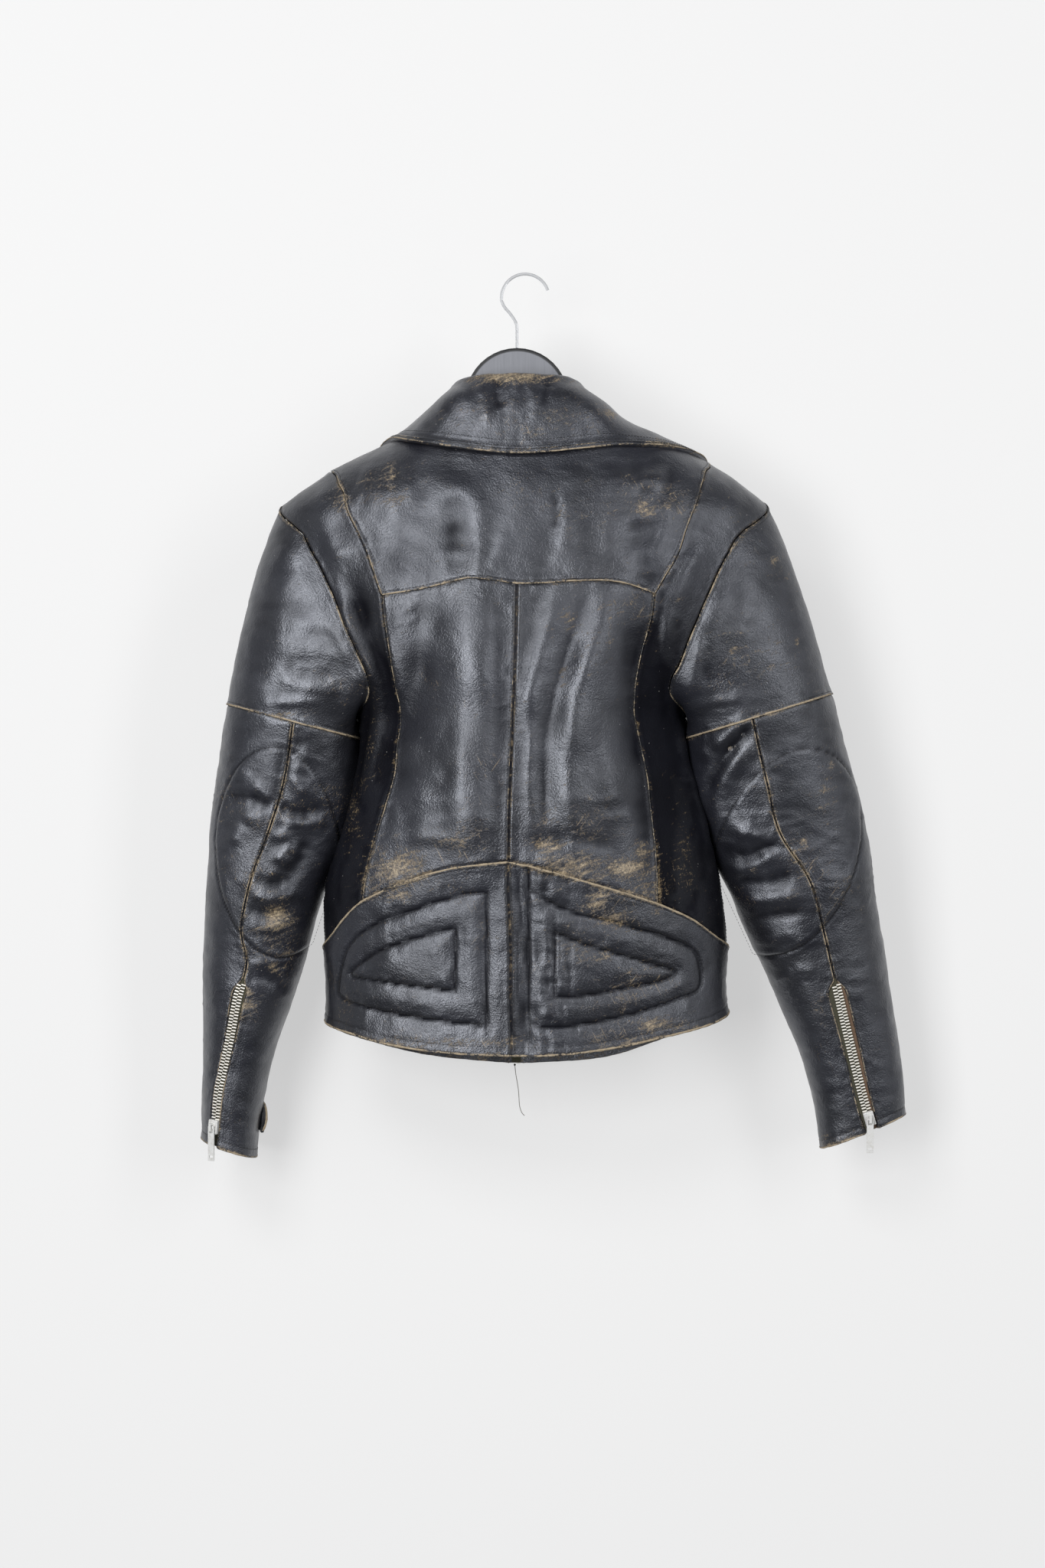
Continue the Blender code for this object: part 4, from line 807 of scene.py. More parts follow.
def armhole_loop(side, quarter):
    """The body's own armhole: down behind from the shoulder tip and up again in front."""
    shares = np.linspace(0, 1, ARMHOLE_POINTS)
    behind, before = (skin(even(armhole_edge(side, face), shares)) for face in (BACK, FRONT))
    return read_off(joined(behind, before[::-1]), joined(2 * shares, 2 + 2 * shares), quarter)


def skin(pairs):
    base, out = on_body(pairs), on_body(pairs, body_normal)
    return base + out * body_relief(base, pairs[..., 0])[..., None]


def sleeve_relief(side, points, out_y):
    x, z = points[..., 0], points[..., 2]
    rise = SLEEVE_FOLD_SHARE * folds(SLEEVE_FOLDS[side], x, z) * facing(out_y, BACK)
    rise += folds(SLEEVE_FRONT_FOLDS[side], x, z) * facing(out_y, FRONT)
    rise += lumps(points, SLEEVE_LUMPS)
    strength = (0.4 + 0.7 * bell(z, ELBOW_Z, ELBOW_REACH)) * np.clip(noise(points, 50, 14) + 0.5, 0, 1)
    return rise + creases(points, 15, 13, (1.7, 1, 0.6)) * strength


# ---------- leather: edges, walls and wear ----------

# Rubbed places on the back and sleeves: x, z, half width, half height, strength
WORN_BACK = (
    (115, -579, 31, 22, 0.9), (-29, -557, 18, 11, 0.9), (-55, -576, 44, 15, 0.8),
    (-121, -563, 15, 13, 0.7), (-51, -342, 11, 15, 0.6), (-44, -393, 7, 15, 0.6),
    (-88, -356, 4, 36, 0.5), (-77, -608, 15, 18, 0.8), (-135, -619, 7, 7, 0.7),
    (-84, -661, 7, 5, 0.7), (-135, -729, 29, 7, 0.8), (112, -605, 16, 7, 0.8),
    (121, -199, 7, 18, 0.7), (-124, -235, 11, 11, 0.7), (52, -550, 30, 14, 0.4),
    (-20, -222, 30, 20, 0.2), (160, -540, 12, 40, 0.4), (-160, -560, 12, 40, 0.4),
    (40, -745, 60, 6, 0.5), (-104, -578, 26, 13, 0.95), (-70, -545, 50, 26, 0.35),
    (-30, -530, 16, 22, 0.45), (-92, -628, 26, 12, 0.6), (-70, -660, 34, 26, 0.36),
    (-100, -690, 40, 30, 0.3), (118, -214, 34, 22, 0.36), (-60, -232, 44, 26, 0.3),
    (-150, -222, 20, 18, 0.42), (170, -222, 12, 20, 0.42), (-62, -370, 30, 46, 0.3),
    (-96, -330, 20, 18, 0.34), (60, -745, 90, 6, 0.45), (-120, -742, 60, 8, 0.5),
    (136, -590, 20, 20, 0.5), (-120, -600, 34, 14, 0.5),
)
WORN_SLEEVE = (
    (233, -630, 16, 16, 0.9), (262, -701, 6, 6, 0.8), (238, -677, 6, 6, 0.7),
    (-249, -283, 4, 6, 0.8), (-271, -361, 4, 6, 0.8), (-208, -369, 6, 4, 0.8),
    (-223, -380, 4, 4, 0.7), (-245, -385, 6, 4, 0.7), (-304, -480, 4, 6, 0.9),
    (-297, -502, 4, 4, 0.7), (-278, -554, 6, 6, 0.9), (-230, -580, 6, 4, 0.8),
    (-209, -205, 7, 6, 0.8), (221, -430, 22, 5, 0.4), (-230, -430, 22, 5, 0.4),
    (212, -215, 12, 8, 0.5), (-236, -372, 54, 34, 0.34), (-262, -300, 22, 28, 0.32),
    (-300, -500, 16, 40, 0.36), (-272, -570, 20, 26, 0.36), (-318, -250, 30, 20, 0.3),
    (240, -650, 26, 30, 0.4), (262, -715, 12, 14, 0.6), (-296, -712, 10, 14, 0.4),
    (-210, -232, 16, 30, 0.4), (208, -236, 12, 24, 0.36), (300, -860, 30, 10, 0.5),
    (-330, -850, 40, 12, 0.5),
)


# How an edge rises or rolls: the share of its pucker and of its stitches' dip, and its soft
# steps as height, distance from the edge and width
EDGE_SHAPES = {
    "plain": (0, 0, ()),
    "over": (1, 1, ((0.9, 0, 5), (-1.5, 0, 0.45))),
    "under": (1.3, 0, ((-0.9, 0, 2.2),)),
    "turned": (1, 0, ((0.5, 3, 2.4), (-1.5, 0, 1.1))),
    "hem": (0.8, 0, ((0.9, 0, 9), (-0.6, 8, 1), (-0.9, 0, 0.5))),
    "zip": (1, 1.4, ((1.1, 0, 4), (-1.2, 0, 0.5))),
}
FAR = 60.0                # farther from an edge or a seam than matters


def edge_relief(kind, away, along, seed):
    """How an edge rises or rolls, by the distance from it and the run along it."""
    puckered, dipped, steps = EDGE_SHAPES[kind]
    line = np.stack([along, 0 * along, 0 * along], -1)
    wave = noise(line, 6.5, seed) + 0.5 * noise(line, 3.1, seed + 1)
    pucker = 0.42 * wave * bell(away, 0, 7) * (1 - bell(away, 0, 1.5))
    rise = puckered * pucker - 0.5 * dipped * bell(away, 3.0, 0.8)
    for height, at, width in steps:
        rise += height * bell(away, at, width)
    return rise


def runs(points):
    """Distances along the columns and along the rows of a grid."""
    u, v = np.zeros(points.shape[:2]), np.zeros(points.shape[:2])
    u[:, 1:] = np.cumsum(np.linalg.norm(np.diff(points, axis=1), axis=2), axis=1)
    v[1:] = np.cumsum(np.linalg.norm(np.diff(points, axis=0), axis=2), axis=0)
    return u, v


def blurred(field, steps, wrap=False):
    """A field averaged over its neighbours, several times."""
    for turn in range(2 * steps):
        mode = "wrap" if wrap and turn % 2 else "edge"
        padded = np.pad(field, ((1, 1), (0, 0)), mode=mode)
        field = ((padded[:-2] + padded[2:] + 2 * field) / 4).T
    return field


BACK_PAINTED_SHADE = (
    # x, z, half width, half height, depth: painted shade on hollows that face away from the light
    (-124, -440, 16, 110, 0.5), (62, -253, 12, 36, 0.4), (112, -288, 34, 20, 0.4),
    (112, -372, 13, 48, 0.35), (9, -460, 7, 120, 0.4), (-100, -505, 24, 45, 0.3),
    (-20, -270, 12, 30, 0.2),
)


SHELTER_TOP_Z = -330      # below it the sides get painted shade, for the light that the sleeves keep off


def spots(table, points):
    x, z = points[..., 0], points[..., 2]
    worn = np.zeros(x.shape)
    for spot_x, spot_z, half_x, half_z, strength in table:
        worn = np.maximum(worn, strength * np.exp(
            -((x - spot_x) / half_x) ** 2 - ((z - spot_z) / half_z) ** 2))
    return worn


RIDGE_RUB = 0.15          # how much a ridge is rubbed by itself
RIDGE_SHARPNESS = 1.6
# Painted shade in the troughs: the leather is darkened in colour and reflection by how deep it lies
NARROW_SHADE = 1.1        # how dark a narrow trough is painted, by its depth: painted shade
BROAD_SHADE, BROAD_DEPTH = 0.11, 0.8
FRONT_SHADE = 0.3         # the share of a trough's painted shade that the front keeps
RUBBED_EDGE = 10          # how far from its edge a panel's finish is thinner


class Panel:
    """One piece of leather: its outside, its normals, and its distances from its edges."""

    def __init__(self, name, points, out, rise, edges, wall=LEATHER, wrap=False, worn=(),
                 shade=0.0):
        self.u, self.v = runs(points)
        self.away = {"left": self.u, "right": self.u[:, -1:] - self.u,
                     "top": self.v, "bottom": self.v[-1:] - self.v}
        total = rise.copy()
        nearest = np.full(rise.shape, FAR)
        for index, (edge, kind) in enumerate(edges.items()):
            seed = 40 + index + sum(map(ord, name)) % 50
            along = self.v if edge in ("left", "right") else self.u
            total += edge_relief(kind, self.away[edge], along, seed)
            if kind != "plain":
                nearest = np.minimum(nearest, self.away[edge])
        self.out = out
        self.outer = points + out * total[..., None]
        inner = points + out * (blurred(rise, 2, wrap) - wall)[..., None]
        above = total - blurred(total, 5, wrap)
        ridge = np.clip(above * RIDGE_SHARPNESS, 0, 1)
        # Painted shade: narrow and broad troughs, and the given shade, are darkened in the material
        sunk = np.clip(-above * NARROW_SHADE, 0, 4)
        sunk += BROAD_SHADE * np.clip(-blurred(rise, 3, wrap) - BROAD_DEPTH, 0, 8)
        facing_back = np.clip(out[..., 1] * 2, 0, 1)
        sunk *= FRONT_SHADE + (1 - FRONT_SHADE) * facing_back
        rub = np.clip(spots(worn, points) * facing_back + RIDGE_RUB * ridge, 0, 1)
        fields = {"rub": rub, "painted_shade": np.clip(1 - np.exp(-sunk) + shade, 0, 1),
                  "edge": np.clip(nearest / RUBBED_EDGE, 0, 1)}
        self.piece = shell(name, self.outer, inner, out, wrap, fields)

    def line(self, edge, inset):
        """A line at a distance from an edge, with its normals."""
        away, outer, out = self.away[edge], self.outer, self.out
        if edge in ("top", "bottom"):
            away, outer, out = away.T, outer.transpose(1, 0, 2), out.transpose(1, 0, 2)
        if edge in ("right", "bottom"):
            away, outer, out = away[:, ::-1], outer[:, ::-1], out[:, ::-1]
        return (np.array([[np.interp(inset, run, row[:, i]) for i in range(3)]
                          for run, row in zip(away, grid)]) for grid in (outer, out))


def coarse(count, wrap):
    """Every third index; a closed row wraps, an open one keeps its last."""
    kept = list(range(0, count, 3))
    if not wrap and kept[-1] != count - 1:
        kept.append(count - 1)
    return kept


def closed(grid):
    """A grid that ends with its first column again."""
    return np.concatenate([grid, grid[:, :1]], axis=1)


def quads_of(index):
    """The faces between a grid's point numbers."""
    return np.stack([index[:-1, :-1], index[:-1, 1:], index[1:, 1:], index[1:, :-1]],
                    -1).reshape(-1, 4)


def shell(name, outer, inner, out, wrap, fields, slot="leather"):
    """A closed wall: a fine outside, a plainer inside, and rims between them."""
    rows, columns = outer.shape[:2]
    kept_rows, kept_columns = coarse(rows, False), coarse(columns, wrap)
    inside = inner[np.ix_(kept_rows, kept_columns)]
    points = np.concatenate([outer.reshape(-1, 3), inside.reshape(-1, 3)])
    index = np.arange(rows * columns).reshape(rows, columns)
    back = index.size + np.arange(inside[..., 0].size).reshape(inside.shape[:2])
    stops = kept_columns
    if wrap:
        index, back, stops = closed(index), closed(back), kept_columns + [columns]
    quads, back_quads = quads_of(index), quads_of(back)
    a, b, c, d = points[quads[rows // 2 * (index.shape[1] - 1) + columns // 2]]
    flip = np.dot(np.cross(c - a, d - b), out[rows // 2, columns // 2]) < 0
    faces = (quads[:, ::-1] if flip else quads).tolist()
    faces += (back_quads if flip else back_quads[:, ::-1]).tolist()
    rims = [(index[0], back[0], stops, True), (index[-1], back[-1], stops, False)]
    if not wrap:
        rims += [(index[:, 0], back[:, 0], kept_rows, False),
                 (index[:, -1], back[:, -1], kept_rows, True)]
    for fine, plain, ends, turned in rims:
        for k, (start, stop) in enumerate(zip(ends, ends[1:])):
            face = [*fine[start:stop + 1].tolist(), int(plain[k + 1]), int(plain[k])]
            faces.append(face if turned == flip else face[::-1])
    mesh = mesh_of(name, points, faces)
    if slot == "leather":
        lined = np.zeros(len(faces), np.int32)
        lined[len(quads):len(quads) + len(back_quads)] = 1
        mesh.polygons.foreach_set("material_index", lined)
    for field, values in fields.items():
        keep_field(mesh, field, np.pad(values.ravel(), (0, inside[..., 0].size)))
    return finished(name, mesh)


def to_frame(points):
    """Table millimetres from the hanger's middle plane, as metres from the hook's bend."""
    return np.asarray(points, float) * MM + np.array([HANG_OFFSET * MM, 0.0, 0.0])


def mesh_of(name, points, faces):
    mesh = bpy.data.meshes.new(name)
    mesh.from_pydata(to_frame(points).tolist(), [], faces)
    return mesh


def keep_field(mesh, field, values):
    """Give each point of a mesh a number that its material can read."""
    kept = mesh.attributes.new(field, "FLOAT", "POINT")
    kept.data.foreach_set("value", values.astype(np.float32))


def placed(name, data):
    """A new object in the scene."""
    made = bpy.data.objects.new(name, data)
    bpy.context.scene.collection.objects.link(made)
    return made


def finished(name, mesh, sharp=50):
    """Put a finished mesh in the scene as a piece of the jacket."""
    piece = placed(name, mesh)
    mesh.shade_smooth()
    mesh.set_sharp_from_angle(angle=math.radians(sharp))
    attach(piece, "jacket")
    return piece


def body_panel(name, pairs, edges, extra=None, wall=LEATHER, painted_shade_below=0.0):
    points, out = on_body(pairs), on_body(pairs, body_normal)
    rise = body_relief(points, pairs[..., 0])
    if extra:
        rise = rise + extra(points)
    # Painted shade: the sides below the sleeves, the kidney pads a little, and listed patches on the
    # back
    depth = painted_shade_below / (1 + np.exp((points[..., 2] - SHELTER_TOP_Z) / 30))
    depth = depth + spots(BACK_PAINTED_SHADE, points) * (out[..., 1] > 0)
    return Panel(name, points, out, rise, edges, wall, worn=WORN_BACK, shade=depth)


def grid_normals(points, wrap):
    """Normals of a grid of points that is closed round its columns or open."""
    if wrap:
        wide = np.concatenate([points[:, -1:], closed(points)], axis=1)
        across = wide[:, 2:] - wide[:, :-2]
    else:
        across = np.gradient(points, axis=1)
    return unit(np.cross(np.gradient(points, axis=0), across))


# ---------- camera, and the loose thread below the hem ----------

CAMERA_Y = 3.5
SENSOR_HEIGHT = 24
VIEW_HEIGHT = 1.536
VIEW_CENTRE = (0.0026, -0.498)


def build_camera():
    lens = bpy.data.cameras.new("main_view")
    lens.sensor_fit = "VERTICAL"
    lens.sensor_height = SENSOR_HEIGHT
    lens.lens = SENSOR_HEIGHT * CAMERA_Y / VIEW_HEIGHT
    eye = placed("main_view", lens)
    eye.location = (VIEW_CENTRE[0], CAMERA_Y, VIEW_CENTRE[1])
    eye.rotation_euler = (math.pi / 2, 0, math.pi)
    bpy.context.scene.camera = eye


THREAD = 0.0007
THREAD_RADIUS = 0.001      # a point's own radius, small so that the curve's box stays close to it
THREAD_Y = -76.95
KNOT_RADIUS = 0.0011
KNOT_DROP = 0.0012
THREAD_PATH = (
    # x, z: down from the foot of the front zip
    (2.5, -777.8), (2.0, -782), (1.2, -789), (-0.2, -797), (-1.3, -804), (-1.9, -812),
    (-2.3, -819), (-3.6, -824.5), (-5.4, -828), (-7.4, -830),
)


def build_thread():
    """A free end of sewing thread, with the knot that holds it."""
    points = to_frame([(x, THREAD_Y, z) for x, z in through(THREAD_PATH, 2)])
    curve = bpy.data.curves.new("loose_thread_end", "CURVE")
    curve.dimensions = "3D"
    curve.bevel_depth = THREAD / 2 / THREAD_RADIUS
    curve.bevel_resolution = 2
    curve.use_fill_caps = True
    line = curve.splines.new("POLY")
    line.points.add(len(points) - 1)
    for place, point in zip(line.points, points):
        place.co = (*point, 1)
        place.radius = THREAD_RADIUS
    thread = placed("loose_thread_end", curve)
    knot_mesh = bmesh.new()
    bmesh.ops.create_icosphere(knot_mesh, subdivisions=2, radius=KNOT_RADIUS)
    middle = Vector(points[0]) + Vector((0, 0, -KNOT_DROP))
    for corner in knot_mesh.verts:
        corner.co = middle + corner.co * (1 + 0.2 * math.sin(corner.co.x * 5000))
    mesh = bpy.data.meshes.new("thread_knot")
    knot_mesh.to_mesh(mesh)
    knot_mesh.free()
    knot = finished("thread_knot", mesh)
    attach(thread, "jacket")
    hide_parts("loose_thread")
    length = float(run_of(points)[-1])
    return thread, knot


build_camera()
THREAD_PIECES = build_thread()


# ---------- quilting and elbow pads ----------

QUILT_LINES = {
    LEFT: (
        ((29, -601), (52, -604), (81, -612), (108, -622), (135, -632), (162, -653),
         (173, -688), (172, -703), (148, -712), (108, -720), (68, -725), (34, -729)),
        ((29, -601), (29, -663), (29, -729)),
        ((59, -637), (81, -641), (108, -649), (135, -660), (161, -682), (135, -687),
         (95, -692), (60, -696)),
        ((59, -637), (59, -667), (60, -696)),
    ),
    RIGHT: (
        ((-14, -601), (-38, -614), (-65, -624), (-91, -630), (-118, -637), (-144, -645),
         (-171, -659), (-178, -677), (-176, -695), (-158, -703), (-118, -716), (-78, -725),
         (-38, -730), (-14, -728)),
        ((-36, -640), (-65, -651), (-91, -659), (-118, -667), (-152, -679), (-144, -685),
         (-104, -693), (-65, -700), (-36, -701)),
        ((-36, -640), (-36, -671), (-36, -701)),
        ((-11, -575), (-11, -660), (-11, -744)),
    ),
}
CHANNEL, CHANNEL_DEPTH = 1.7, 1.6
PUFF, PUFF_REACH = 1.7, 9
CRUMPLED_X = -34          # the crumpled part of the right pad
CREASED_X = -4            # and the strip of short creases beside its centre seam


def quilting(side):
    """Puffed pads between recessed channels, and how far any point is from a channel."""
    def relief(points):
        x, z = points[..., 0], points[..., 2]
        nearest = np.full(x.shape, FAR)
        for line in QUILT_LINES[side]:
            nearest = np.minimum(nearest, distance_to(line, x, z)[0])
        rise = (PUFF * (1 - bell(nearest, 0, PUFF_REACH))
                - CHANNEL_DEPTH * np.exp(-(nearest / CHANNEL) ** 4)
                + 0.6 * noise(points, 9, 21, (0.7, 1, 1.7)) * bell(nearest, 5, 7))
        if side == RIGHT:
            rise += bell(x, CRUMPLED_X, 24) * lumps(points, QUILT_LUMPS)
            strip = np.exp(-((x - CREASED_X) / 8) ** 4)
            rise += strip * (1.9 * noise(points, 5, 24, (0.7, 1, 6)) - 1.2)
        return rise
    return relief


def pad_relief(side, points, out_y):
    """The elbow's raised oval, with a stitched groove round it."""
    centre_x, centre_z, half_x, half_z, lean = ELBOW_PADS[side]
    dx = points[..., 0] - centre_x - lean * (points[..., 2] - centre_z)
    reach = np.hypot(dx / half_x, (points[..., 2] - centre_z) / half_z)
    from_rim = (reach - 1) * (half_x + half_z) / 2
    pad = 1.3 / (1 + np.exp(from_rim / 2.4)) - 1.5 * bell(from_rim, -1, 1.25)
    return (pad + 0.5 * bell(from_rim, -4.5, 2.6)) * np.clip(out_y * 3, 0, 1)


# ---------- the panels ----------

SEAMED = {"top": "plain", "left": "turned", "right": "turned", "bottom": "under"}
# Painted shade on the side panels, and a little on the kidney pads
SIDE_PAINTED_SHADE, KIDNEY_PAINTED_SHADE = 0.86, 0.05


def make_body():
    panels = {}
    for side, name in SIDES:
        panels["side_back_" + name] = body_panel(
            "side_back_panel_" + name, side_back(side), SEAMED, painted_shade_below=SIDE_PAINTED_SHADE)
        panels["back_" + name] = body_panel(
            "back_panel_" + name, back_half(side), {**SEAMED, "top": "under"})
        panels["kidney_" + name] = body_panel(
            "kidney_pad_" + name, kidney_half(side), {**SEAMED, "top": "over", "bottom": "hem"},
            quilting(side), KIDNEY_PAD, KIDNEY_PAINTED_SHADE)
        panels["front_" + name] = body_panel(
            "front_panel_" + name, front_half(side), {**SEAMED, "right": "zip", "bottom": "hem"})
    panels["yoke"] = body_panel("back_yoke", yoke(), {
        "top": "plain", "bottom": "over", "left": "over", "right": "over"})
    return panels


LOWER_LENGTH = 430
LOWER_COLUMNS = (("outer", 74), ("inner", 86))


def make_sleeves(side, name):
    points = upper_sleeve(side)
    out = grid_normals(points, True)
    out *= np.sign(out[len(out) // 2, 0, 0]) * side
    rise = sleeve_relief(side, points, out[..., 1])
    settled = np.clip(np.linspace(0, 1, len(points)) * 5, 0, 1)[:, None]
    panels = {"upper": Panel("sleeve_top_" + name, points, out, rise * settled,
                             {"top": "over", "bottom": "over"}, wrap=True, worn=WORN_SLEEVE)}
    share = stops_for(LOWER_LENGTH, step=SLEEVE_STEP)
    for piece, columns in LOWER_COLUMNS:
        spread = stops_for(columns * SLEEVE_STEP, step=SLEEVE_STEP)
        turns, shares = sleeve_grid(side, piece, share, spread)
        points, out = (found(side, turns, shares) for found in (sleeve_point, sleeve_normal))
        rise = sleeve_relief(side, points, out[..., 1]) + pad_relief(side, points, out[..., 1])
        panels[piece] = Panel(f"sleeve_{piece}_{name}_leather", points, out, rise,
                              {**SEAMED, "top": "under", "bottom": "hem"}, worn=WORN_SLEEVE)
    return panels


BODY_PANELS = make_body()
SLEEVES = {side: make_sleeves(side, name) for side, name in SIDES}


# ---------- collar ----------

LEVEL = np.array([1.0, 1.0, 0.0])


def collar_profile(row):
    angle, values = math.radians(row[0]), [float(value) for value in row[1:]]
    roll, fall, edge = (np.array(values[i:i + 3]) for i in (0, 3, 6))
    outward = np.array([math.cos(angle), math.sin(angle), 0.0])
    inside = roll - outward * ROLL_HALF - np.array([0, 0, ROLL_DROP])
    over = roll + outward * ROLL_HALF - np.array([0, 0, ROLL_DROP])
    return [inside, roll, over, fall, edge]


def clear_of_body(points, share_of_gap=1.0):
    """Push points straight out from the body's middle until they clear the leather."""
    x, y, z = points[..., 0], points[..., 1], points[..., 2]
    left, right, back, front = np.moveaxis(BODY.at(z), -1, 0)
    middle, half = (left + right) / 2, (left - right) / 2
    depth = np.where(y >= 0, back, front)
    gap = np.where(y > 0, COLLAR_GAP["back"], COLLAR_GAP["front"]) * share_of_gap
    across = signed_power((x - middle) / half, SQUARENESS / 2)
    ahead = signed_power(y / depth, SQUARENESS / 2)
    turn = np.arctan2(ahead, across)
    side_share = np.abs(across) / np.hypot(across, ahead)
    neck_z = neck_height(np.where(y >= 0, NECK_BACK_Z, NECK_FRONT_Z), turn)
    surface = skin(np.stack([turn, z], -1))
    away = np.hypot(surface[..., 0] - middle, surface[..., 1])
    wide = gap * (1 + SLOPING_SHOULDER * side_share)
    push = (z <= neck_z + gap * NECK_MARGIN) & (np.hypot(x - middle, y) < away + wide)
    share = (away + wide) / away
    out = np.stack([middle + (surface[..., 0] - middle) * share, surface[..., 1] * share, z], -1)
    return np.where(push[..., None], out, points)


def collar_foot():
    """The stand's foot, just inside and above the neck seam, from front to front."""
    lines = []
    for side in (LEFT, RIGHT):
        zip_x = FRONT_ZIP_X + side * CHAIN_HALF
        ahead = skin(neck_edge(side, FRONT, body_angle(zip_x, NECK_FRONT_Z, FRONT),
                               NECK_FRONT_Z))
        behind = skin(neck_edge(side, BACK, math.pi / 2, NECK_BACK_Z))
        lines.append(np.concatenate([ahead[::-1], behind[1:]]))
    neck = np.concatenate([lines[0], lines[1][-2::-1]])
    inward = unit(-neck * LEVEL)
    return neck + inward * NECK_TUCK + np.array([0, 0, NECK_LIFT])


COLLAR_FOLDS = (
    # course x, z, width, height outwards
    (((18, -104), (21, -120), (14, -140)), 5, -1.5),
    (((31, -106), (35, -126), (28, -150)), 7, 1.4),
    (((4, -106), (1, -124), (8, -142)), 5, 1.2),
    (((-8, -108), (-17, -130), (-14, -152)), 6, 1.1),
    (((-30, -110), (-24, -136)), 5, -1.3),
    (((48, -116), (82, -152)), 10, 1.5),
    (((-44, -116), (-84, -154)), 11, 1.3),
    (((60, -132), (92, -160)), 6, -0.9),
)


def collar_relief(points):
    """Soft waves, and the crumples that the neck has pressed into the collar's back."""
    x, z = points[..., 0], points[..., 2]
    behind = np.clip(points[..., 1] / 20, 0, 1)
    rise = lumps(points, COLLAR_LUMPS) + folds(COLLAR_FOLDS, x, z) * behind
    return rise + 0.7 * creases(points, 12, 33, (0.6, 1, 1.5)) * bell(x, 8, 34) * behind


COLLAR_COLUMNS = 190
FREE_ROW = 32             # the first row of the collar's path that hangs outside the neck
WORN_COLLAR = ((4, -104, 52, 9, 1.0), (-94, -139, 16, 6, 0.9), (50, -140, 30, 20, 0.3),
               (-40, -150, 60, 26, 0.3), (-150, -168, 30, 12, 0.4))


def make_collar():
    table = np.array([collar_profile(row) for row in COLLAR])
    stops = np.linspace(0, 1, COLLAR_COLUMNS)
    lines = [resample(collar_foot(), stops)]
    lines += [resample(through(table[:, i]), stops) for i in range(table.shape[1])]
    grid = np.stack([through(station, 10) for station in np.stack(lines, axis=1)], axis=1)
    for share_of_gap in (1.0, 0.8):
        push = np.zeros(grid.shape)
        push[FREE_ROW:] = clear_of_body(grid[FREE_ROW:], share_of_gap) - grid[FREE_ROW:]
        push = np.stack([blurred(push[..., i], 3) for i in range(3)], -1)
        grid[FREE_ROW - 6:] += push[FREE_ROW - 6:]
    middle = COLLAR_COLUMNS // 2
    rows = stops_for(run_of(grid[:, middle])[-1], step=2.2)
    grid = np.stack([resample(grid[:, j], rows) for j in range(COLLAR_COLUMNS)], axis=1)
    for _ in range(2):
        grid[1:-1] = (grid[:-2] + 2 * grid[1:-1] + grid[2:]) / 4
    out = grid_normals(grid, False)
    if np.dot(out[-4, middle], grid[-4, middle] * LEVEL) < 0:
        out = -out
    return Panel("turned_collar", grid + out * COLLAR_WALL / 2, out, collar_relief(grid),
                 {"bottom": "hem", "left": "hem", "right": "hem"}, COLLAR_WALL,
                 worn=WORN_COLLAR)


COLLAR_PANEL = make_collar()


# ---------- worn ridges along the seams, and stitches ----------

ALL_LEATHER = [*BODY_PANELS.values(), *SLEEVES[LEFT].values(), *SLEEVES[RIGHT].values(),
               COLLAR_PANEL]
# Panel, edge, inset, radius, lift, and how bare it is rubbed
YOKE_RIDGES = (("yoke", "bottom", 0.3, 0.8, 0.3, 0.56), ("yoke", "left", 0.3, 0.7, 0.3, 0.5),
               ("yoke", "right", 0.3, 0.7, 0.3, 0.55))
BODY_RIDGES = (
    ("back_", "right", 1.6, 0.34, 0.1, 0.36), ("back_", "left", 0.7, 0.6, 0.5, 0.42),
    ("kidney_", "top", 0.4, 1.05, 0.3, 0.66), ("kidney_", "right", 2.0, 0.5, 0.2, 0.12),
    ("kidney_", "bottom", 0.4, 1.1, 0.3, 0.6), ("front_", "bottom", 0.4, 0.9, 0.3, 0.4),
)
SLEEVE_RIDGES = (
    ("upper", "top", 0.6, 0.8, 0.5, 0.42), ("upper", "bottom", 0.4, 1.0, 0.3, 0.62),
    ("outer", "right", 1.35, 0.5, 0.2, 0.44), ("inner", "left", 1.35, 0.5, 0.2, 0.5),
    ("outer", "left", 1.2, 0.6, 0.2, 0.3), ("outer", "bottom", 0.4, 0.9, 0.2, 0.6),
    ("inner", "bottom", 0.4, 0.9, 0.2, 0.6),
)
COLLAR_RIDGES = (("bottom", 0.4, 0.75, 0.2, 0.52), ("bottom", 3.8, 0.5, 0.15, 0.34),
                 ("left", 0.5, 0.9, 0.2, 0.5), ("right", 0.5, 0.9, 0.2, 0.5))
# Panel, edge, inset
YOKE_STITCHES = (("yoke", "bottom", 3.0), ("yoke", "left", 3.0), ("yoke", "right", 3.0))
BODY_STITCHES = (("back_", "right", 3.6), ("back_", "left", 2.8), ("side_back_", "left", 3.0),
                 ("kidney_", "top", 3.0), ("kidney_", "right", 3.4), ("kidney_", "bottom", 8.0),
                 ("front_", "bottom", 8.0), ("front_", "right", 3.2))
SLEEVE_STITCHES = (("upper", "top", 3.0), ("upper", "bottom", 3.0), ("outer", "right", 3.4),
                   ("outer", "bottom", 8.0), ("inner", "bottom", 8.0), ("inner", "left", 3.4))
COLLAR_STITCHES = (2.0, 6.6, 12.6)
TUBE_SIDES, TUBE_FLATNESS, RIDGE_STEP = 8, 0.75, 1.5
STITCH_PITCH, STITCH_LIFT = 3.3, 0.15
BEAD_RADIUS, BEAD_STRETCH = 0.25, (5.0, 1.0, 0.8)
OVAL_POINTS, OVAL_INSET = 40, 0.985
QUILT_OFFSET = 1.6        # quilting stitches lie beside their channel's middle
LAID_REACH = 3            # a point farther from a panel than this isn't on it
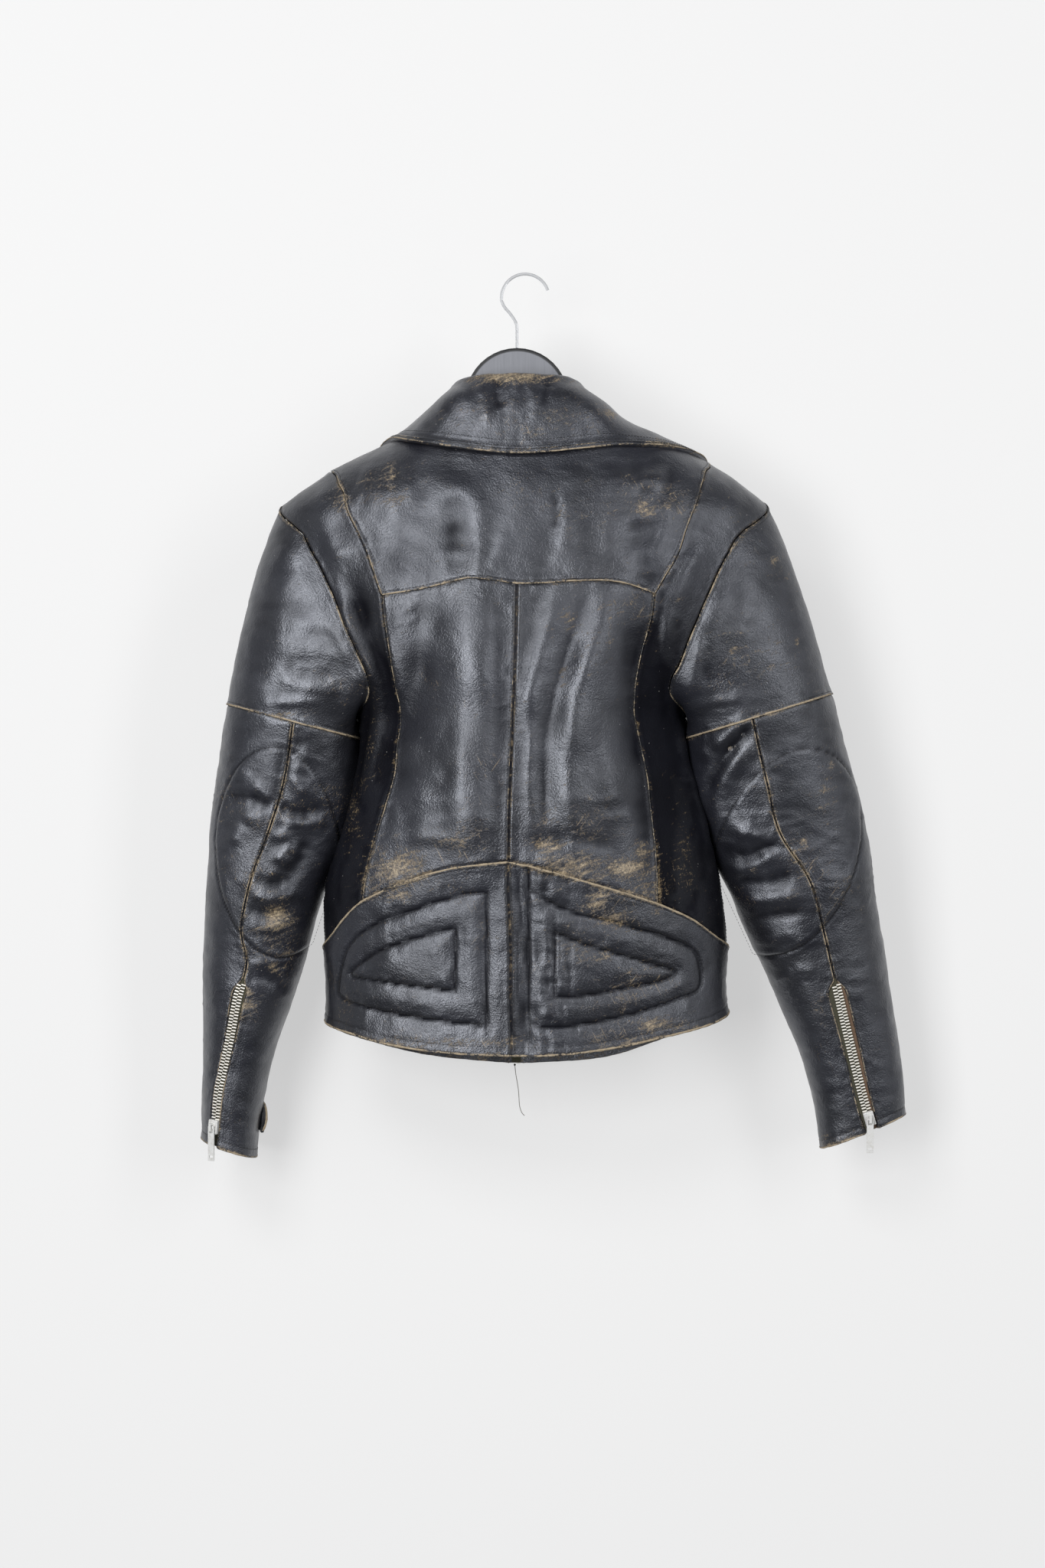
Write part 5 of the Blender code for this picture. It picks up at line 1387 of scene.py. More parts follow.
LIP_X, LIP_Z, LIP_HALF, LIP_POINTS = 254.5, -827, 15, 24
LIP_TUBES = ((3.0, 3.4, -40), (6.2, 1.3, -39))    # reach, radius, y: the roll and its edge


def with_panels(group, table, suffix=""):
    """A table's rows, with the panel itself in place of its name."""
    return [(group[part + suffix], *rest) for part, *rest in table]


def evened(points, normals, step):
    """The same line with even steps, and the normals that go with it."""
    run = run_of(points)
    stops = np.linspace(0, run[-1], max(int(run[-1] / step), 2) + 1)
    return read_off(points, run, stops), unit(read_off(normals, run, stops))


def tube(points, normals, radius, seed):
    """A slightly flat, uneven ridge along a line, as rings of points."""
    across = unit(np.cross(normals, direction(points)))
    uneven = 1 + 0.22 * noise(points, 5, seed) + 0.12 * noise(points, 2.2, seed + 1)
    ends = np.minimum(np.arange(len(points)), np.arange(len(points))[::-1])
    size = radius * uneven * np.clip(0.3 + ends * 0.35, 0, 1)
    sway = 0.18 * radius * noise(points, 9, seed + 2)
    return np.stack([points + across * (np.cos(turn) * size + sway)[:, None]
                     + normals * (np.sin(turn) * size * TUBE_FLATNESS)[:, None]
                     for turn in np.arange(TUBE_SIDES) * 2 * math.pi / TUBE_SIDES], 1)


def tubes(name, rings, bare, sharp=60):
    """Many tubes as one piece, with how bare each one's leather is rubbed."""
    points, faces, worn, start = [], [], [], 0
    for ring, amount in zip(rings, bare):
        index = start + np.arange(len(ring) * TUBE_SIDES).reshape(len(ring), TUBE_SIDES)
        around = np.concatenate([index, index[:, :1]], 1)
        quads = np.stack([around[:-1, :-1], around[1:, :-1], around[1:, 1:], around[:-1, 1:]], -1)
        faces += quads.reshape(-1, 4).tolist()
        faces += [index[0].tolist(), index[-1][::-1].tolist()]
        points.append(ring.reshape(-1, 3))
        worn.append(np.full(index.size, amount))
        start += index.size
    mesh = mesh_of(name, np.concatenate(points), faces)
    turned = bmesh.new()
    turned.from_mesh(mesh)
    bmesh.ops.recalc_face_normals(turned, faces=turned.faces[:])
    turned.to_mesh(mesh)
    turned.free()
    keep_field(mesh, "bare", np.concatenate(worn))
    return finished(name, mesh, sharp=sharp)


def ridges(name, lines):
    rings = []
    for index, (panel, edge, inset, radius, lift, _) in enumerate(lines):
        points, normals = evened(*panel.line(edge, inset), RIDGE_STEP)
        rings.append(tube(points + normals * lift, normals, radius, 60 + index))
    return tubes(name, rings, [line[-1] for line in lines])


def cuff_lip():
    """The small rolled lip of the left cuff's underlap, with its suede edge."""
    turns = np.linspace(0, math.pi, LIP_POINTS)
    rings = []
    for reach, radius, y in LIP_TUBES:
        line = np.stack([LIP_X - reach * np.sin(turns), 0 * turns + y,
                         LIP_Z + LIP_HALF * np.cos(turns)], 1)
        rings.append(tube(line, np.tile((0.0, 1.0, 0.0), (LIP_POINTS, 1)), radius, 90))
    return tubes("cuff_lip_left", rings, (0.1, 0.8), 50)


def make_ridges():
    lines = with_panels(BODY_PANELS, YOKE_RIDGES)
    for _, name in SIDES:
        lines += with_panels(BODY_PANELS, BODY_RIDGES, name)
    made = [ridges("seam_edges_back", lines),
            ridges("seam_edges_collar", [(COLLAR_PANEL, *row) for row in COLLAR_RIDGES])]
    made += [ridges("seam_edges_sleeve_" + name, with_panels(SLEEVES[side], SLEEVE_RIDGES))
             for side, name in SIDES]
    return made + [cuff_lip()]


RIDGES = make_ridges()


def modelled(add_shape, *steps):
    """Model a small piece: add a shape, then take all of it through each step."""
    for thing in bpy.context.selected_objects:
        thing.select_set(False)
    add_shape()
    bpy.ops.object.mode_set(mode="EDIT")
    bpy.ops.mesh.select_all(action="SELECT")
    for step in steps:
        step()
    bpy.ops.object.mode_set(mode="OBJECT")
    return bpy.context.object


def take_mesh(piece):
    """The points and faces of a modelled piece, in millimetres, and the piece put away."""
    mesh = piece.data
    points = np.array([corner.co for corner in mesh.vertices]) / MM
    faces = [list(face.vertices) for face in mesh.polygons]
    bpy.data.objects.remove(piece, do_unlink=True)
    return points, faces


def model_stitch():
    """One stitch, 2.5 mm long: a bead drawn out and sunk at both ends."""
    centre = (0, 0, 0)
    return take_mesh(modelled(
        lambda: bpy.ops.mesh.primitive_uv_sphere_add(segments=6, ring_count=5,
                                                     radius=BEAD_RADIUS * MM),
        lambda: bpy.ops.transform.rotate(value=math.pi / 2, orient_axis="Y",
                                         center_override=centre),
        lambda: bpy.ops.transform.resize(value=BEAD_STRETCH, center_override=centre)))


STITCH = model_stitch()


def scattered(template, places, tangents, normals):
    """Copies of a small shape, each turned along its line: their points and faces."""
    shape, faces = template
    across = unit(np.cross(normals, tangents))
    axes = (tangents, across, np.cross(tangents, across))
    points = places[:, None] + sum(shape[None, :, i:i + 1] * axis[:, None]
                                   for i, axis in enumerate(axes))
    made = [[corner + len(shape) * i for corner in face]
            for i in range(len(places)) for face in faces]
    return points.reshape(-1, 3), made


def stitches(name, rows):
    """Stitches along lines, each given by its points and normals."""
    parts = []
    for row in rows:
        places, out = evened(*row, STITCH_PITCH)
        along = direction(places)
        jitter = 0.12 * noise(places * 37.0, 10, 71)
        parts.append((places + out * STITCH_LIFT + along * jitter[:, None], along, out))
    made = scattered(STITCH, *(np.concatenate(each) for each in zip(*parts)))
    return finished(name, mesh_of(name, *made))


def laid_on(panel, course, offset=0.0):
    """A line given in x and z, laid on the back of a panel as far as the panel reaches."""
    line = through(course, 10)
    line = resample(line, np.linspace(0, 1, max(int(run_of(line)[-1] / 2), 3)))
    along = direction(line)
    line = line + np.stack([along[:, 1], -along[:, 0]], 1) * offset
    behind = panel.out[..., 1] > 0.05
    outer, out = panel.outer[behind], panel.out[behind]
    places, normals = [], []
    for x, z in line:
        away = (outer[:, 0] - x) ** 2 + (outer[:, 2] - z) ** 2
        if away.min() >= LAID_REACH ** 2:
            continue
        near = np.argpartition(away, 4)[:4]
        weight = 1 / (away[near] + 0.05)
        weight /= weight.sum()
        places.append((x, (outer[near, 1] * weight).sum(), z))
        normals.append((out[near] * weight[:, None]).sum(axis=0))
    return np.array(places), np.array(normals)


def oval(side):
    """The line of stitches round an elbow pad."""
    centre_x, centre_z, half_x, half_z, lean = ELBOW_PADS[side]
    turns = np.linspace(0, 2 * math.pi, OVAL_POINTS)
    z = centre_z + half_z * np.sin(turns) * OVAL_INSET
    x = centre_x + half_x * np.cos(turns) * OVAL_INSET + lean * (z - centre_z)
    return list(zip(x, z))


def lines_of(rows):
    return [panel.line(edge, inset) for panel, edge, inset in rows]


def make_stitches():
    rows = lines_of(with_panels(BODY_PANELS, YOKE_STITCHES))
    for side, name in SIDES:
        rows += lines_of(with_panels(BODY_PANELS, BODY_STITCHES, name))
        rows += [laid_on(BODY_PANELS["kidney_" + name], course, QUILT_OFFSET)
                 for course in QUILT_LINES[side]]
    made = [stitches("stitches_body", rows),
            stitches("stitches_collar", [COLLAR_PANEL.line("bottom", inset)
                                         for inset in COLLAR_STITCHES])]
    for side, name in SIDES:
        rows = lines_of(with_panels(SLEEVES[side], SLEEVE_STITCHES))
        rows += [laid_on(SLEEVES[side][piece], oval(side)) for piece in ("outer", "inner")]
        made.append(stitches("stitches_sleeve_" + name, rows))
    return made


STITCHES = make_stitches()


# ---------- zips ----------

TOOTH_PITCH = 1.55        # teeth of the two sides alternate
TOOTH_SIZE = (1.4, 4.5, 1.5)
TOOTH_BEVEL = 0.3
TOOTH_OUT = 2.2           # from the chain's middle to the middle of a tooth
TOOTH_LIFT = 0.2
HEAD_AT = -1.2            # where a tooth's raised head begins
TAPE_WALL, TAPE_DEPTH, TAPE_COLUMNS = 0.9, 1.0, 13
TAPE_LAP = 2.2            # how far the tape reaches under the leather
CORD_AT, CORD_WIDTH, CORD_HEIGHT = 0.16, 0.06, 0.5    # the cords along the tape's middle
# Shares of the sleeve's length
TAPE_SPAN = (ZIP_START - 0.005, 0.9985)
TEETH_SPAN = (ZIP_START + 0.022, 0.955)
TAPE_OPENS = ZIP_START + 0.012


def model_tooth():
    """One zip tooth: a rounded bar with a raised head at the end that meets its neighbours."""
    tooth = modelled(
        lambda: bpy.ops.mesh.primitive_cube_add(size=1.0),
        lambda: bpy.ops.transform.resize(value=[size * MM for size in TOOTH_SIZE],
                                         center_override=(0, 0, 0)),
        lambda: bpy.ops.mesh.bevel(offset=TOOTH_BEVEL * MM, segments=1, affect="EDGES"))
    for corner in tooth.data.vertices:
        if corner.co.y < HEAD_AT * MM:
            corner.co.z += 0.3 * MM
            corner.co.x *= 0.85
    return take_mesh(tooth)


TOOTH = model_tooth()


def teeth(name, points, normals):
    """Two rows of teeth that meet along a line."""
    places, out = evened(points, normals, TOOTH_PITCH)
    along = direction(places)
    hand = np.where(np.arange(len(places)) % 2 == 0, 1.0, -1.0)[:, None]
    centres = places + np.cross(out, along) * (hand * TOOTH_OUT) + out * TOOTH_LIFT
    mesh = mesh_of(name, *scattered(TOOTH, centres, along * hand, out))
    return finished(name, mesh, sharp=35)


def tape(name, rim_a, rim_b, normals, brown=False):
    """A woven tape between the two turned edges, a little lower than them."""
    shares = np.linspace(0, 1, TAPE_COLUMNS)
    grid = np.linspace(rim_a, rim_b, len(shares), axis=1)
    out = np.repeat(normals[:, None], len(shares), 1)
    cords = bell(np.abs(shares - 0.5), CORD_AT, CORD_WIDTH) * CORD_HEIGHT
    outer = grid + out * (cords[None, :, None] - TAPE_DEPTH)
    flap = np.clip((1 - shares) * 6 - 3.9, 0, 1) * brown
    fields = {"rub": flap[None, :] + 0 * outer[..., 0]}
    inner = grid - out * (TAPE_DEPTH + TAPE_WALL)
    return shell(name, outer, inner, out, False, fields, "zip_tape")


def cuff_zip(side, name):
    def line(first, last, count):
        share = np.linspace(first, last, count)
        turn = seam_turn(side, share)
        points, out = sleeve_point(side, turn, share), sleeve_normal(side, turn, share)
        lift = out * sleeve_relief(side, points, out[..., 1])[:, None]
        return share, turn, points + lift, out, lift

    share, turn, _, out, lift = line(*TAPE_SPAN, 150)
    half = (opening(np.maximum(share, TAPE_OPENS)) + TAPE_LAP) / SLEEVE_RADIUS
    rims = [sleeve_point(side, turn + way * half, share) + lift for way in (-1, 1)]
    tape_piece = tape("cuff_zip_tape_woven_" + name, *rims, out, side == RIGHT)
    points, normals = line(*TEETH_SPAN, 160)[2:4]
    teeth_piece = teeth("cuff_zip_teeth_" + name, points, normals)
    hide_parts("cuff_zip_tape_" + name)
    return tape_piece, teeth_piece


CUFF_ZIPS = [cuff_zip(side, name) for side, name in SIDES]


def front_zip():
    pairs = zip_strip()
    grid, out = skin(pairs), on_body(pairs, body_normal)
    middle = len(grid[0]) // 2
    tape_piece = tape("front_zip_tape_woven", grid[:, 0], grid[:, -1], out[:, middle])
    teeth_piece = teeth("front_zip_teeth", grid[8:, middle], out[8:, middle])
    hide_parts("front_zip_tape")
    return tape_piece, teeth_piece


FRONT_ZIP = front_zip()


# ---------- materials ----------

# Colours as linear red, green and blue: a dark and a pale one where there are two
BLACK_DYE = ((0.0068, 0.0068, 0.0090), (0.0125, 0.0130, 0.0185))
# Painted shade: the colour that shaded troughs and sides are darkened towards
PAINTED_SHADE_COLOUR = (0.003, 0.0031, 0.0045)
SCUFFED = ((0.028, 0.021, 0.014), (0.175, 0.132, 0.08))
BARE_HIDE = ((0.10, 0.072, 0.042), (0.41, 0.325, 0.205))
SCRATCH = (0.22, 0.165, 0.10)
DUST = (0.30, 0.29, 0.28)
LEATHER_TINT = (0.86, 0.90, 1.0, 1)
EDGE_DYE = (0.012, 0.013, 0.017)
EDGE_HIDE = ((0.17, 0.12, 0.07), (0.50, 0.42, 0.30))
LINING = ((0.012, 0.012, 0.014), (0.03, 0.03, 0.034))
BLACK_THREAD = ((0.006, 0.006, 0.007), (0.02, 0.019, 0.018))
GREY_THREAD = ((0.17, 0.155, 0.14), (0.42, 0.40, 0.37))
TAPE_CLOTH = ((0.030, 0.029, 0.018), (0.085, 0.080, 0.048))
BROWN_FLAP = ((0.10, 0.055, 0.032), (0.22, 0.14, 0.09))
TEETH_METAL = ((0.97, 0.95, 0.90), (0.80, 0.75, 0.66))
PULL_METAL = ((0.86, 0.86, 0.85), (0.62, 0.61, 0.58))
CHROME = ((0.88, 0.89, 0.91), (0.7, 0.71, 0.73))
PAINT_GRAIN = ((0.165, 0.172, 0.194), (0.255, 0.263, 0.288))
PAINT_PATCH = (0.14, 0.145, 0.165)
# painted shade for the hanger head's bevelled rim
PAINTED_RIM_SHADE = (0.008, 0.0085, 0.010)

# Sizes of the pattern, as lumps in a metre
PEBBLES, PORES, WARP = 640.0, 1400.0, 220.0
STREAKS, SPECKS, PATCHES, GRIT = (55, 60, 260), 420.0, 14.0, 210.0
LONG_SCRATCHES, SCRATCH_LEANS = (760, 760, 26), (0.62, -0.48)

HEAD_CENTRE = (HANG_OFFSET * MM, 0.0, -0.122)
HEAD_RADIUS = 0.0506


def opaque(colour):
    return (*colour, 1) if isinstance(colour, tuple) else colour


class Shading:
    """A node tree that is being filled; its methods add nodes and give their outputs."""

    def __init__(self, tree, where):
        self.tree, self.where = tree, where

    def put(self, node, values):
        """Set a node's inputs, or link them."""
        for name, value in values.items():
            if isinstance(value, bpy.types.NodeSocket):
                self.tree.links.new(value, node.inputs[name])
            else:
                node.inputs[name].default_value = value

    def add(self, kind, values, **settings):
        node = self.tree.nodes.new("ShaderNode" + kind)
        for name, value in settings.items():
            setattr(node, name, value)
        self.put(node, values)
        return node

    def maths(self, operation, *values, clamp=False):
        return self.add("Math", dict(enumerate(values)), operation=operation,
                        use_clamp=clamp).outputs[0]

    def scaled(self, value, factor, plus):
        return self.maths("MULTIPLY_ADD", value, factor, plus)

    def swung(self, amount, pattern, strength):
        """An amount moved up and down by a pattern whose middle is one half."""
        swing = self.maths("MULTIPLY", self.maths("SUBTRACT", pattern, 0.5), strength)
        return self.maths("ADD", amount, swing)

    def blend(self, share, first, second):
        mix = self.add("Mix", {}, data_type="RGBA")
        self.put(mix, {0: share, 6: opaque(first), 7: opaque(second)})
        return mix.outputs[2]

    def between(self, value, low, high):
        """Stretch a value so that low becomes 0 and high becomes 1."""
        return self.add("MapRange", {"Value": value, "From Min": low, "From Max": high},
                        interpolation_type="SMOOTHSTEP").outputs[0]

    def noise(self, scale, detail=2.0, roughness=0.5, distortion=0.0, where=None):
        return self.add("TexNoise", {
            "Vector": where or self.where, "Scale": scale, "Detail": detail,
            "Roughness": roughness, "Distortion": distortion}).outputs[0]

    def cells(self, scale, where=None, feature="F1"):
        return self.add("TexVoronoi", {"Vector": where or self.where, "Scale": scale},
                        feature=feature).outputs

    def weave(self, scale, distortion, direction="DIAGONAL"):
        return self.add("TexWave", {"Vector": self.where, "Scale": scale,
                                    "Distortion": distortion},
                        bands_direction=direction).outputs["Fac"]

    def stretched(self, scale, turn=(0, 0, 0)):
        """The place, turned and then stretched."""
        turned = self.add("Mapping", {"Vector": self.where, "Rotation": turn})
        return self.add("Mapping", {"Vector": turned.outputs[0], "Scale": scale}).outputs[0]

    def attribute(self, name):
        return self.add("Attribute", {}, attribute_name=name).outputs["Fac"]

    def bump(self, height, strength, distance, under=None, invert=False):
        """A normal roughened by a height, on top of another normal if one is given."""
        values = {"Strength": strength, "Distance": distance, "Height": height}
        if under:
            values["Normal"] = under
        return self.add("Bump", values, invert=invert).outputs[0]

    def group(self, group, **values):
        node = self.tree.nodes.new("ShaderNodeGroup")
        node.node_tree = group
        self.put(node, {"Where": self.where, **values})
        return node.outputs


def new_group(name, takes, gives):
    """An empty group of nodes that takes the place and some numbers, and gives numbers."""
    tree = bpy.data.node_groups.new(name, "ShaderNodeTree")
    sockets = [("Where", "INPUT", "NodeSocketVector")]
    sockets += [(label, "INPUT", "NodeSocketFloat") for label in takes]
    sockets += [(label, "OUTPUT", "NodeSocketFloat") for label in gives]
    for label, way, kind in sockets:
        tree.interface.new_socket(label, in_out=way, socket_type=kind)
    entry, leave = tree.nodes.new("NodeGroupInput"), tree.nodes.new("NodeGroupOutput")
    return Shading(tree, entry.outputs["Where"]), entry.outputs, leave


def grain_group():
    """Pebbled hide with finer pores, and its soft uneven lie."""
    shading, _, leave = new_group("hide_grain", (), ("Pebbles", "Wrinkles"))
    warped = shading.add("TexNoise", {"Vector": shading.where, "Scale": WARP, "Detail": 1.0})
    bent = shading.add("Mix", {}, data_type="VECTOR")
    shading.put(bent, {0: 0.0012, 4: shading.where, 5: warped.outputs["Color"]})
    pebbles = shading.cells(PEBBLES, bent.outputs[1], "SMOOTH_F1")["Distance"]
    pores = shading.cells(PORES)["Distance"]
    grain = shading.maths("ADD", shading.maths("MULTIPLY", pebbles, 0.7),
                          shading.maths("MULTIPLY", pores, 0.3))
    lie = shading.stretched((46, 46, 60), (0, 0.3, 0))
    shading.put(leave, {"Pebbles": shading.maths("SUBTRACT", 1.0, grain),
                        "Wrinkles": shading.noise(1.0, 5.0, 0.52, 0.4, lie)})
    return shading.tree


def wear_group():
    """Where the black finish has rubbed through: a little, and down to the hide."""
    shading, entry, leave = new_group("rubbed_finish", ("Rub", "Edge"),
                                      ("Worn", "Bare", "Dust", "Scratches"))
    maths, between = shading.maths, shading.between
    streaks = shading.noise(1.0, 5.0, 0.65, 0.6, shading.stretched(STREAKS, (0, -0.35, 0)))
    specks = shading.noise(SPECKS, 4.0, 0.7)
    patches = shading.noise(PATCHES, 3.0, 0.55)
    near_edge = between(entry["Edge"], 0.5, 0.02)
    amount = maths("ADD", entry["Rub"], maths("MULTIPLY", near_edge, 0.42))
    for pattern, strength in ((streaks, 2.3), (specks, 1.8), (patches, 0.5)):
        amount = shading.swung(amount, pattern, strength)
    lines = [shading.noise(1.0, 2.0, where=shading.stretched(LONG_SCRATCHES, (0, lean, 0)))
             for lean in SCRATCH_LEANS]
    scratch = between(maths("MAXIMUM", *lines), 0.64, 0.72)
    rubbed = maths("ADD", patches, maths("MULTIPLY", entry["Rub"], 0.5))
    grit = shading.cells(GRIT)
    chosen = shading.add("SeparateColor", {"Color": grit["Color"]}).outputs[0]
    size = maths("MULTIPLY", maths("SUBTRACT", chosen, 0.86, clamp=True), 0.9)
    shading.put(leave, {
        "Worn": between(amount, 0.42, 0.85),
        "Bare": between(amount, 0.8, 1.15),
        "Scratches": maths("MULTIPLY", scratch, between(rubbed, 0.6, 0.72)),
        "Dust": maths("LESS_THAN", grit["Distance"], size)})
    return shading.tree


GRAIN = grain_group()
WEAR = wear_group()


class Look(Shading):
    """A material with its surface's shader."""

    def __init__(self, name):
        self.material = bpy.data.materials.new(name)
        self.material.use_nodes = True
        super().__init__(self.material.node_tree, None)
        self.where = self.add("TexCoord", {}).outputs["Object"]

    def finish(self, colour, roughness, normal, **others):
        """Set the surface; the other inputs have underscores for their blanks."""
        values = {"Base Color": colour, "Roughness": roughness, "Normal": normal}
        values.update((name.replace("_", " "), value) for name, value in others.items())
        self.put(self.tree.nodes["Principled BSDF"], values)
        return self.material


def leather_look():
    look = Look("worn_black_leather")
    grain = look.group(GRAIN)
    wear = look.group(WEAR, Rub=look.attribute("rub"), Edge=look.attribute("edge"))
    # Painted shade: the given shade darkens the colour, takes away reflection and coat, and roughens
    painted_shade_share = look.attribute("painted_shade")
    colour = look.blend(look.between(look.noise(11.0, 3.0, 0.6), 0.3, 0.7), *BLACK_DYE)
    colour = look.blend(look.maths("MULTIPLY", painted_shade_share, 0.5), colour, PAINTED_SHADE_COLOUR)
    scuffed = look.blend(look.between(look.noise(520.0, 3.0, 0.7), 0.36, 0.64), *SCUFFED)
    hide = look.blend(look.between(look.noise(460.0, 3.0, 0.7), 0.3, 0.7), *BARE_HIDE)
    colour = look.blend(wear["Worn"], colour, scuffed)
    colour = look.blend(wear["Bare"], colour, hide)
    colour = look.blend(look.maths("MULTIPLY", wear["Scratches"], 0.75), colour, SCRATCH)
    colour = look.blend(look.maths("MULTIPLY", wear["Dust"], 0.55), colour, DUST)
    roughness = look.between(look.noise(26.0, 3.0, 0.6), 0.3, 0.75)
    roughness = look.scaled(roughness, 0.15, 0.325)
    roughness = look.scaled(wear["Worn"], 0.22, roughness)
    roughness = look.scaled(painted_shade_share, 0.08, roughness)
    fine = look.bump(grain["Pebbles"], 0.5, 0.0006)
    soft = look.bump(grain["Wrinkles"], 0.7, 0.0013, fine)
    return look.finish(
        colour, roughness, look.bump(wear["Worn"], 0.35, 0.0004, soft, invert=True),
        # Painted shade: less reflection and coat where the shade is given
        Specular_IOR_Level=look.scaled(painted_shade_share, -0.93, 0.97), Specular_Tint=LEATHER_TINT,
        Coat_Weight=look.scaled(painted_shade_share, -0.24, 0.24), Coat_Roughness=0.26,
        Coat_Normal=look.bump(grain["Pebbles"], 0.25, 0.0005, soft))


def edge_look():
    """The rounded edges of the seams, where the finish goes first."""
    look = Look("rubbed_seam_edge")
    spread = look.swung(look.attribute("bare"), look.noise(55.0, 4.0, 0.7), 1.6)
    spread = look.swung(spread, look.noise(700.0), 0.8)
    rubbed = look.between(spread, 0.36, 0.62)
    hide = look.blend(look.noise(300.0, 3.0), *EDGE_HIDE)
    return look.finish(look.blend(rubbed, EDGE_DYE, hide), look.scaled(rubbed, 0.25, 0.38),
                       look.bump(look.noise(900.0), 0.4, 0.0004))


def lining_look():
    look = Look("black_lining")
    return look.finish(look.blend(look.noise(18.0, 3.0), *LINING), 0.5,
                       look.bump(look.weave(420.0, 0.4), 0.3, 0.0003), Sheen_Weight=0.3)


def thread_look(name, colours):
    look = Look(name)
    return look.finish(look.blend(look.noise(900.0), *colours), 0.6,
                       look.bump(look.weave(900.0, 1.0, "X"), 0.4, 0.0002))


def tape_look():
    look = Look("woven_zip_tape")
    weave = look.weave(620.0, 0.6)
    flap = look.blend(look.noise(300.0, 3.0), *BROWN_FLAP)
    colour = look.blend(look.attribute("rub"), look.blend(weave, *TAPE_CLOTH), flap)
    return look.finish(colour, 0.8, look.bump(weave, 0.6, 0.0004))


def metal_look(name, colours, roughness, spread, metallic):
    look = Look(name)
    tarnish = look.between(look.noise(260.0, 4.0, 0.65), 0.35, 0.75)
    return look.finish(look.blend(tarnish, *colours), look.scaled(tarnish, spread, roughness),
                       look.bump(look.noise(1500.0), 0.15, 0.0002), Metallic=metallic)


def paint_look():
    """Dark painted wood: faint upright grain, and painted shade along the rim of its head."""
    look = Look("painted_hanger")
    grain = look.noise(1.0, 4.0, 0.6, 0.3, look.stretched((520, 520, 26)))
    patches = look.noise(45.0, 3.0, 0.6)
    colour = look.blend(grain, *PAINT_GRAIN)
    colour = look.blend(look.maths("MULTIPLY", patches, 0.4), colour, PAINT_PATCH)
    reach = look.where
    for operation, other in (("SUBTRACT", HEAD_CENTRE), ("MULTIPLY", (1, 0, 1)),
                             ("LENGTH", None)):
        values = {0: reach} if other is None else {0: reach, 1: other}
        step = look.add("VectorMath", values, operation=operation)
        reach = step.outputs["Value" if other is None else "Vector"]
    # Painted shade along the rim of the head, where its bevelled edge turns from the light
    rim = look.between(reach, HEAD_RADIUS - 0.0042, HEAD_RADIUS - 0.0026)
    return look.finish(look.blend(rim, colour, PAINTED_RIM_SHADE), look.scaled(patches, 0.2, 0.34),
                       look.bump(grain, 0.2, 0.0004))


def paint_pieces(pieces, *looks):
    for piece in pieces:
        piece.data.materials.clear()
        for look in looks:
            piece.data.materials.append(look)


LEATHER_LOOKS = (leather_look(), lining_look())
STITCH_LOOK = thread_look("black_stitching", BLACK_THREAD)
PULL_LOOK = metal_look("worn_nickel", PULL_METAL, 0.26, 0.2, 0.3)
TAPES, TEETH = zip(*CUFF_ZIPS, FRONT_ZIP)
THREAD, KNOT = THREAD_PIECES
paint_pieces([panel.piece for panel in ALL_LEATHER], *LEATHER_LOOKS)
paint_pieces(RIDGES, edge_look())
paint_pieces(STITCHES + [KNOT], STITCH_LOOK)
paint_pieces([THREAD], thread_look("loose_grey_thread", GREY_THREAD))
paint_pieces(TAPES, tape_look())
paint_pieces(TEETH, metal_look("dulled_nickel", TEETH_METAL, 0.3, 0.2, 0.15))
NODE_LOOKS = {"hanger_body": paint_look(),
              "hanger_hook": metal_look("chromed_wire", CHROME, 0.15, 0.15, 0.5)}
for name in ("cuff_zip_left", "cuff_zip_right", "front_zip"):
    NODE_LOOKS[name + "_slider"] = NODE_LOOKS[name + "_pull"] = PULL_LOOK
for node, look in NODE_LOOKS.items():
    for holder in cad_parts[node].material_slots:
        holder.material = look


# ---------- the solids that the pieces stand for, hidden ---------------------------

def declare(panel, node):
    """Hide the solid that a panel stands for; its width, length and area laid flat, in metres, are
    worked out but not kept.
    """
    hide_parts(node)
    width, length = float(panel.u[:, -1].max()) * MM, float(panel.v[-1].max()) * MM
    across, down = np.diff(panel.outer, axis=1)[:-1], np.diff(panel.outer, axis=0)[:, :-1]
    area = float(np.linalg.norm(np.cross(across, down), axis=-1).sum()) * MM * MM
    area = min(max(area, 0.31 * width * length), width * length)


declare(BODY_PANELS["yoke"], "yoke")
for side, name in SIDES:
    for part in ("back_", "side_back_", "kidney_", "front_"):
        declare(BODY_PANELS[part + name], part + name)
for side, name in SIDES:
    for part in ("upper", "outer", "inner"):
        declare(SLEEVES[side][part], f"sleeve_{part}_{name}")
declare(COLLAR_PANEL, "collar")


# ---------- stage and lamps ----------

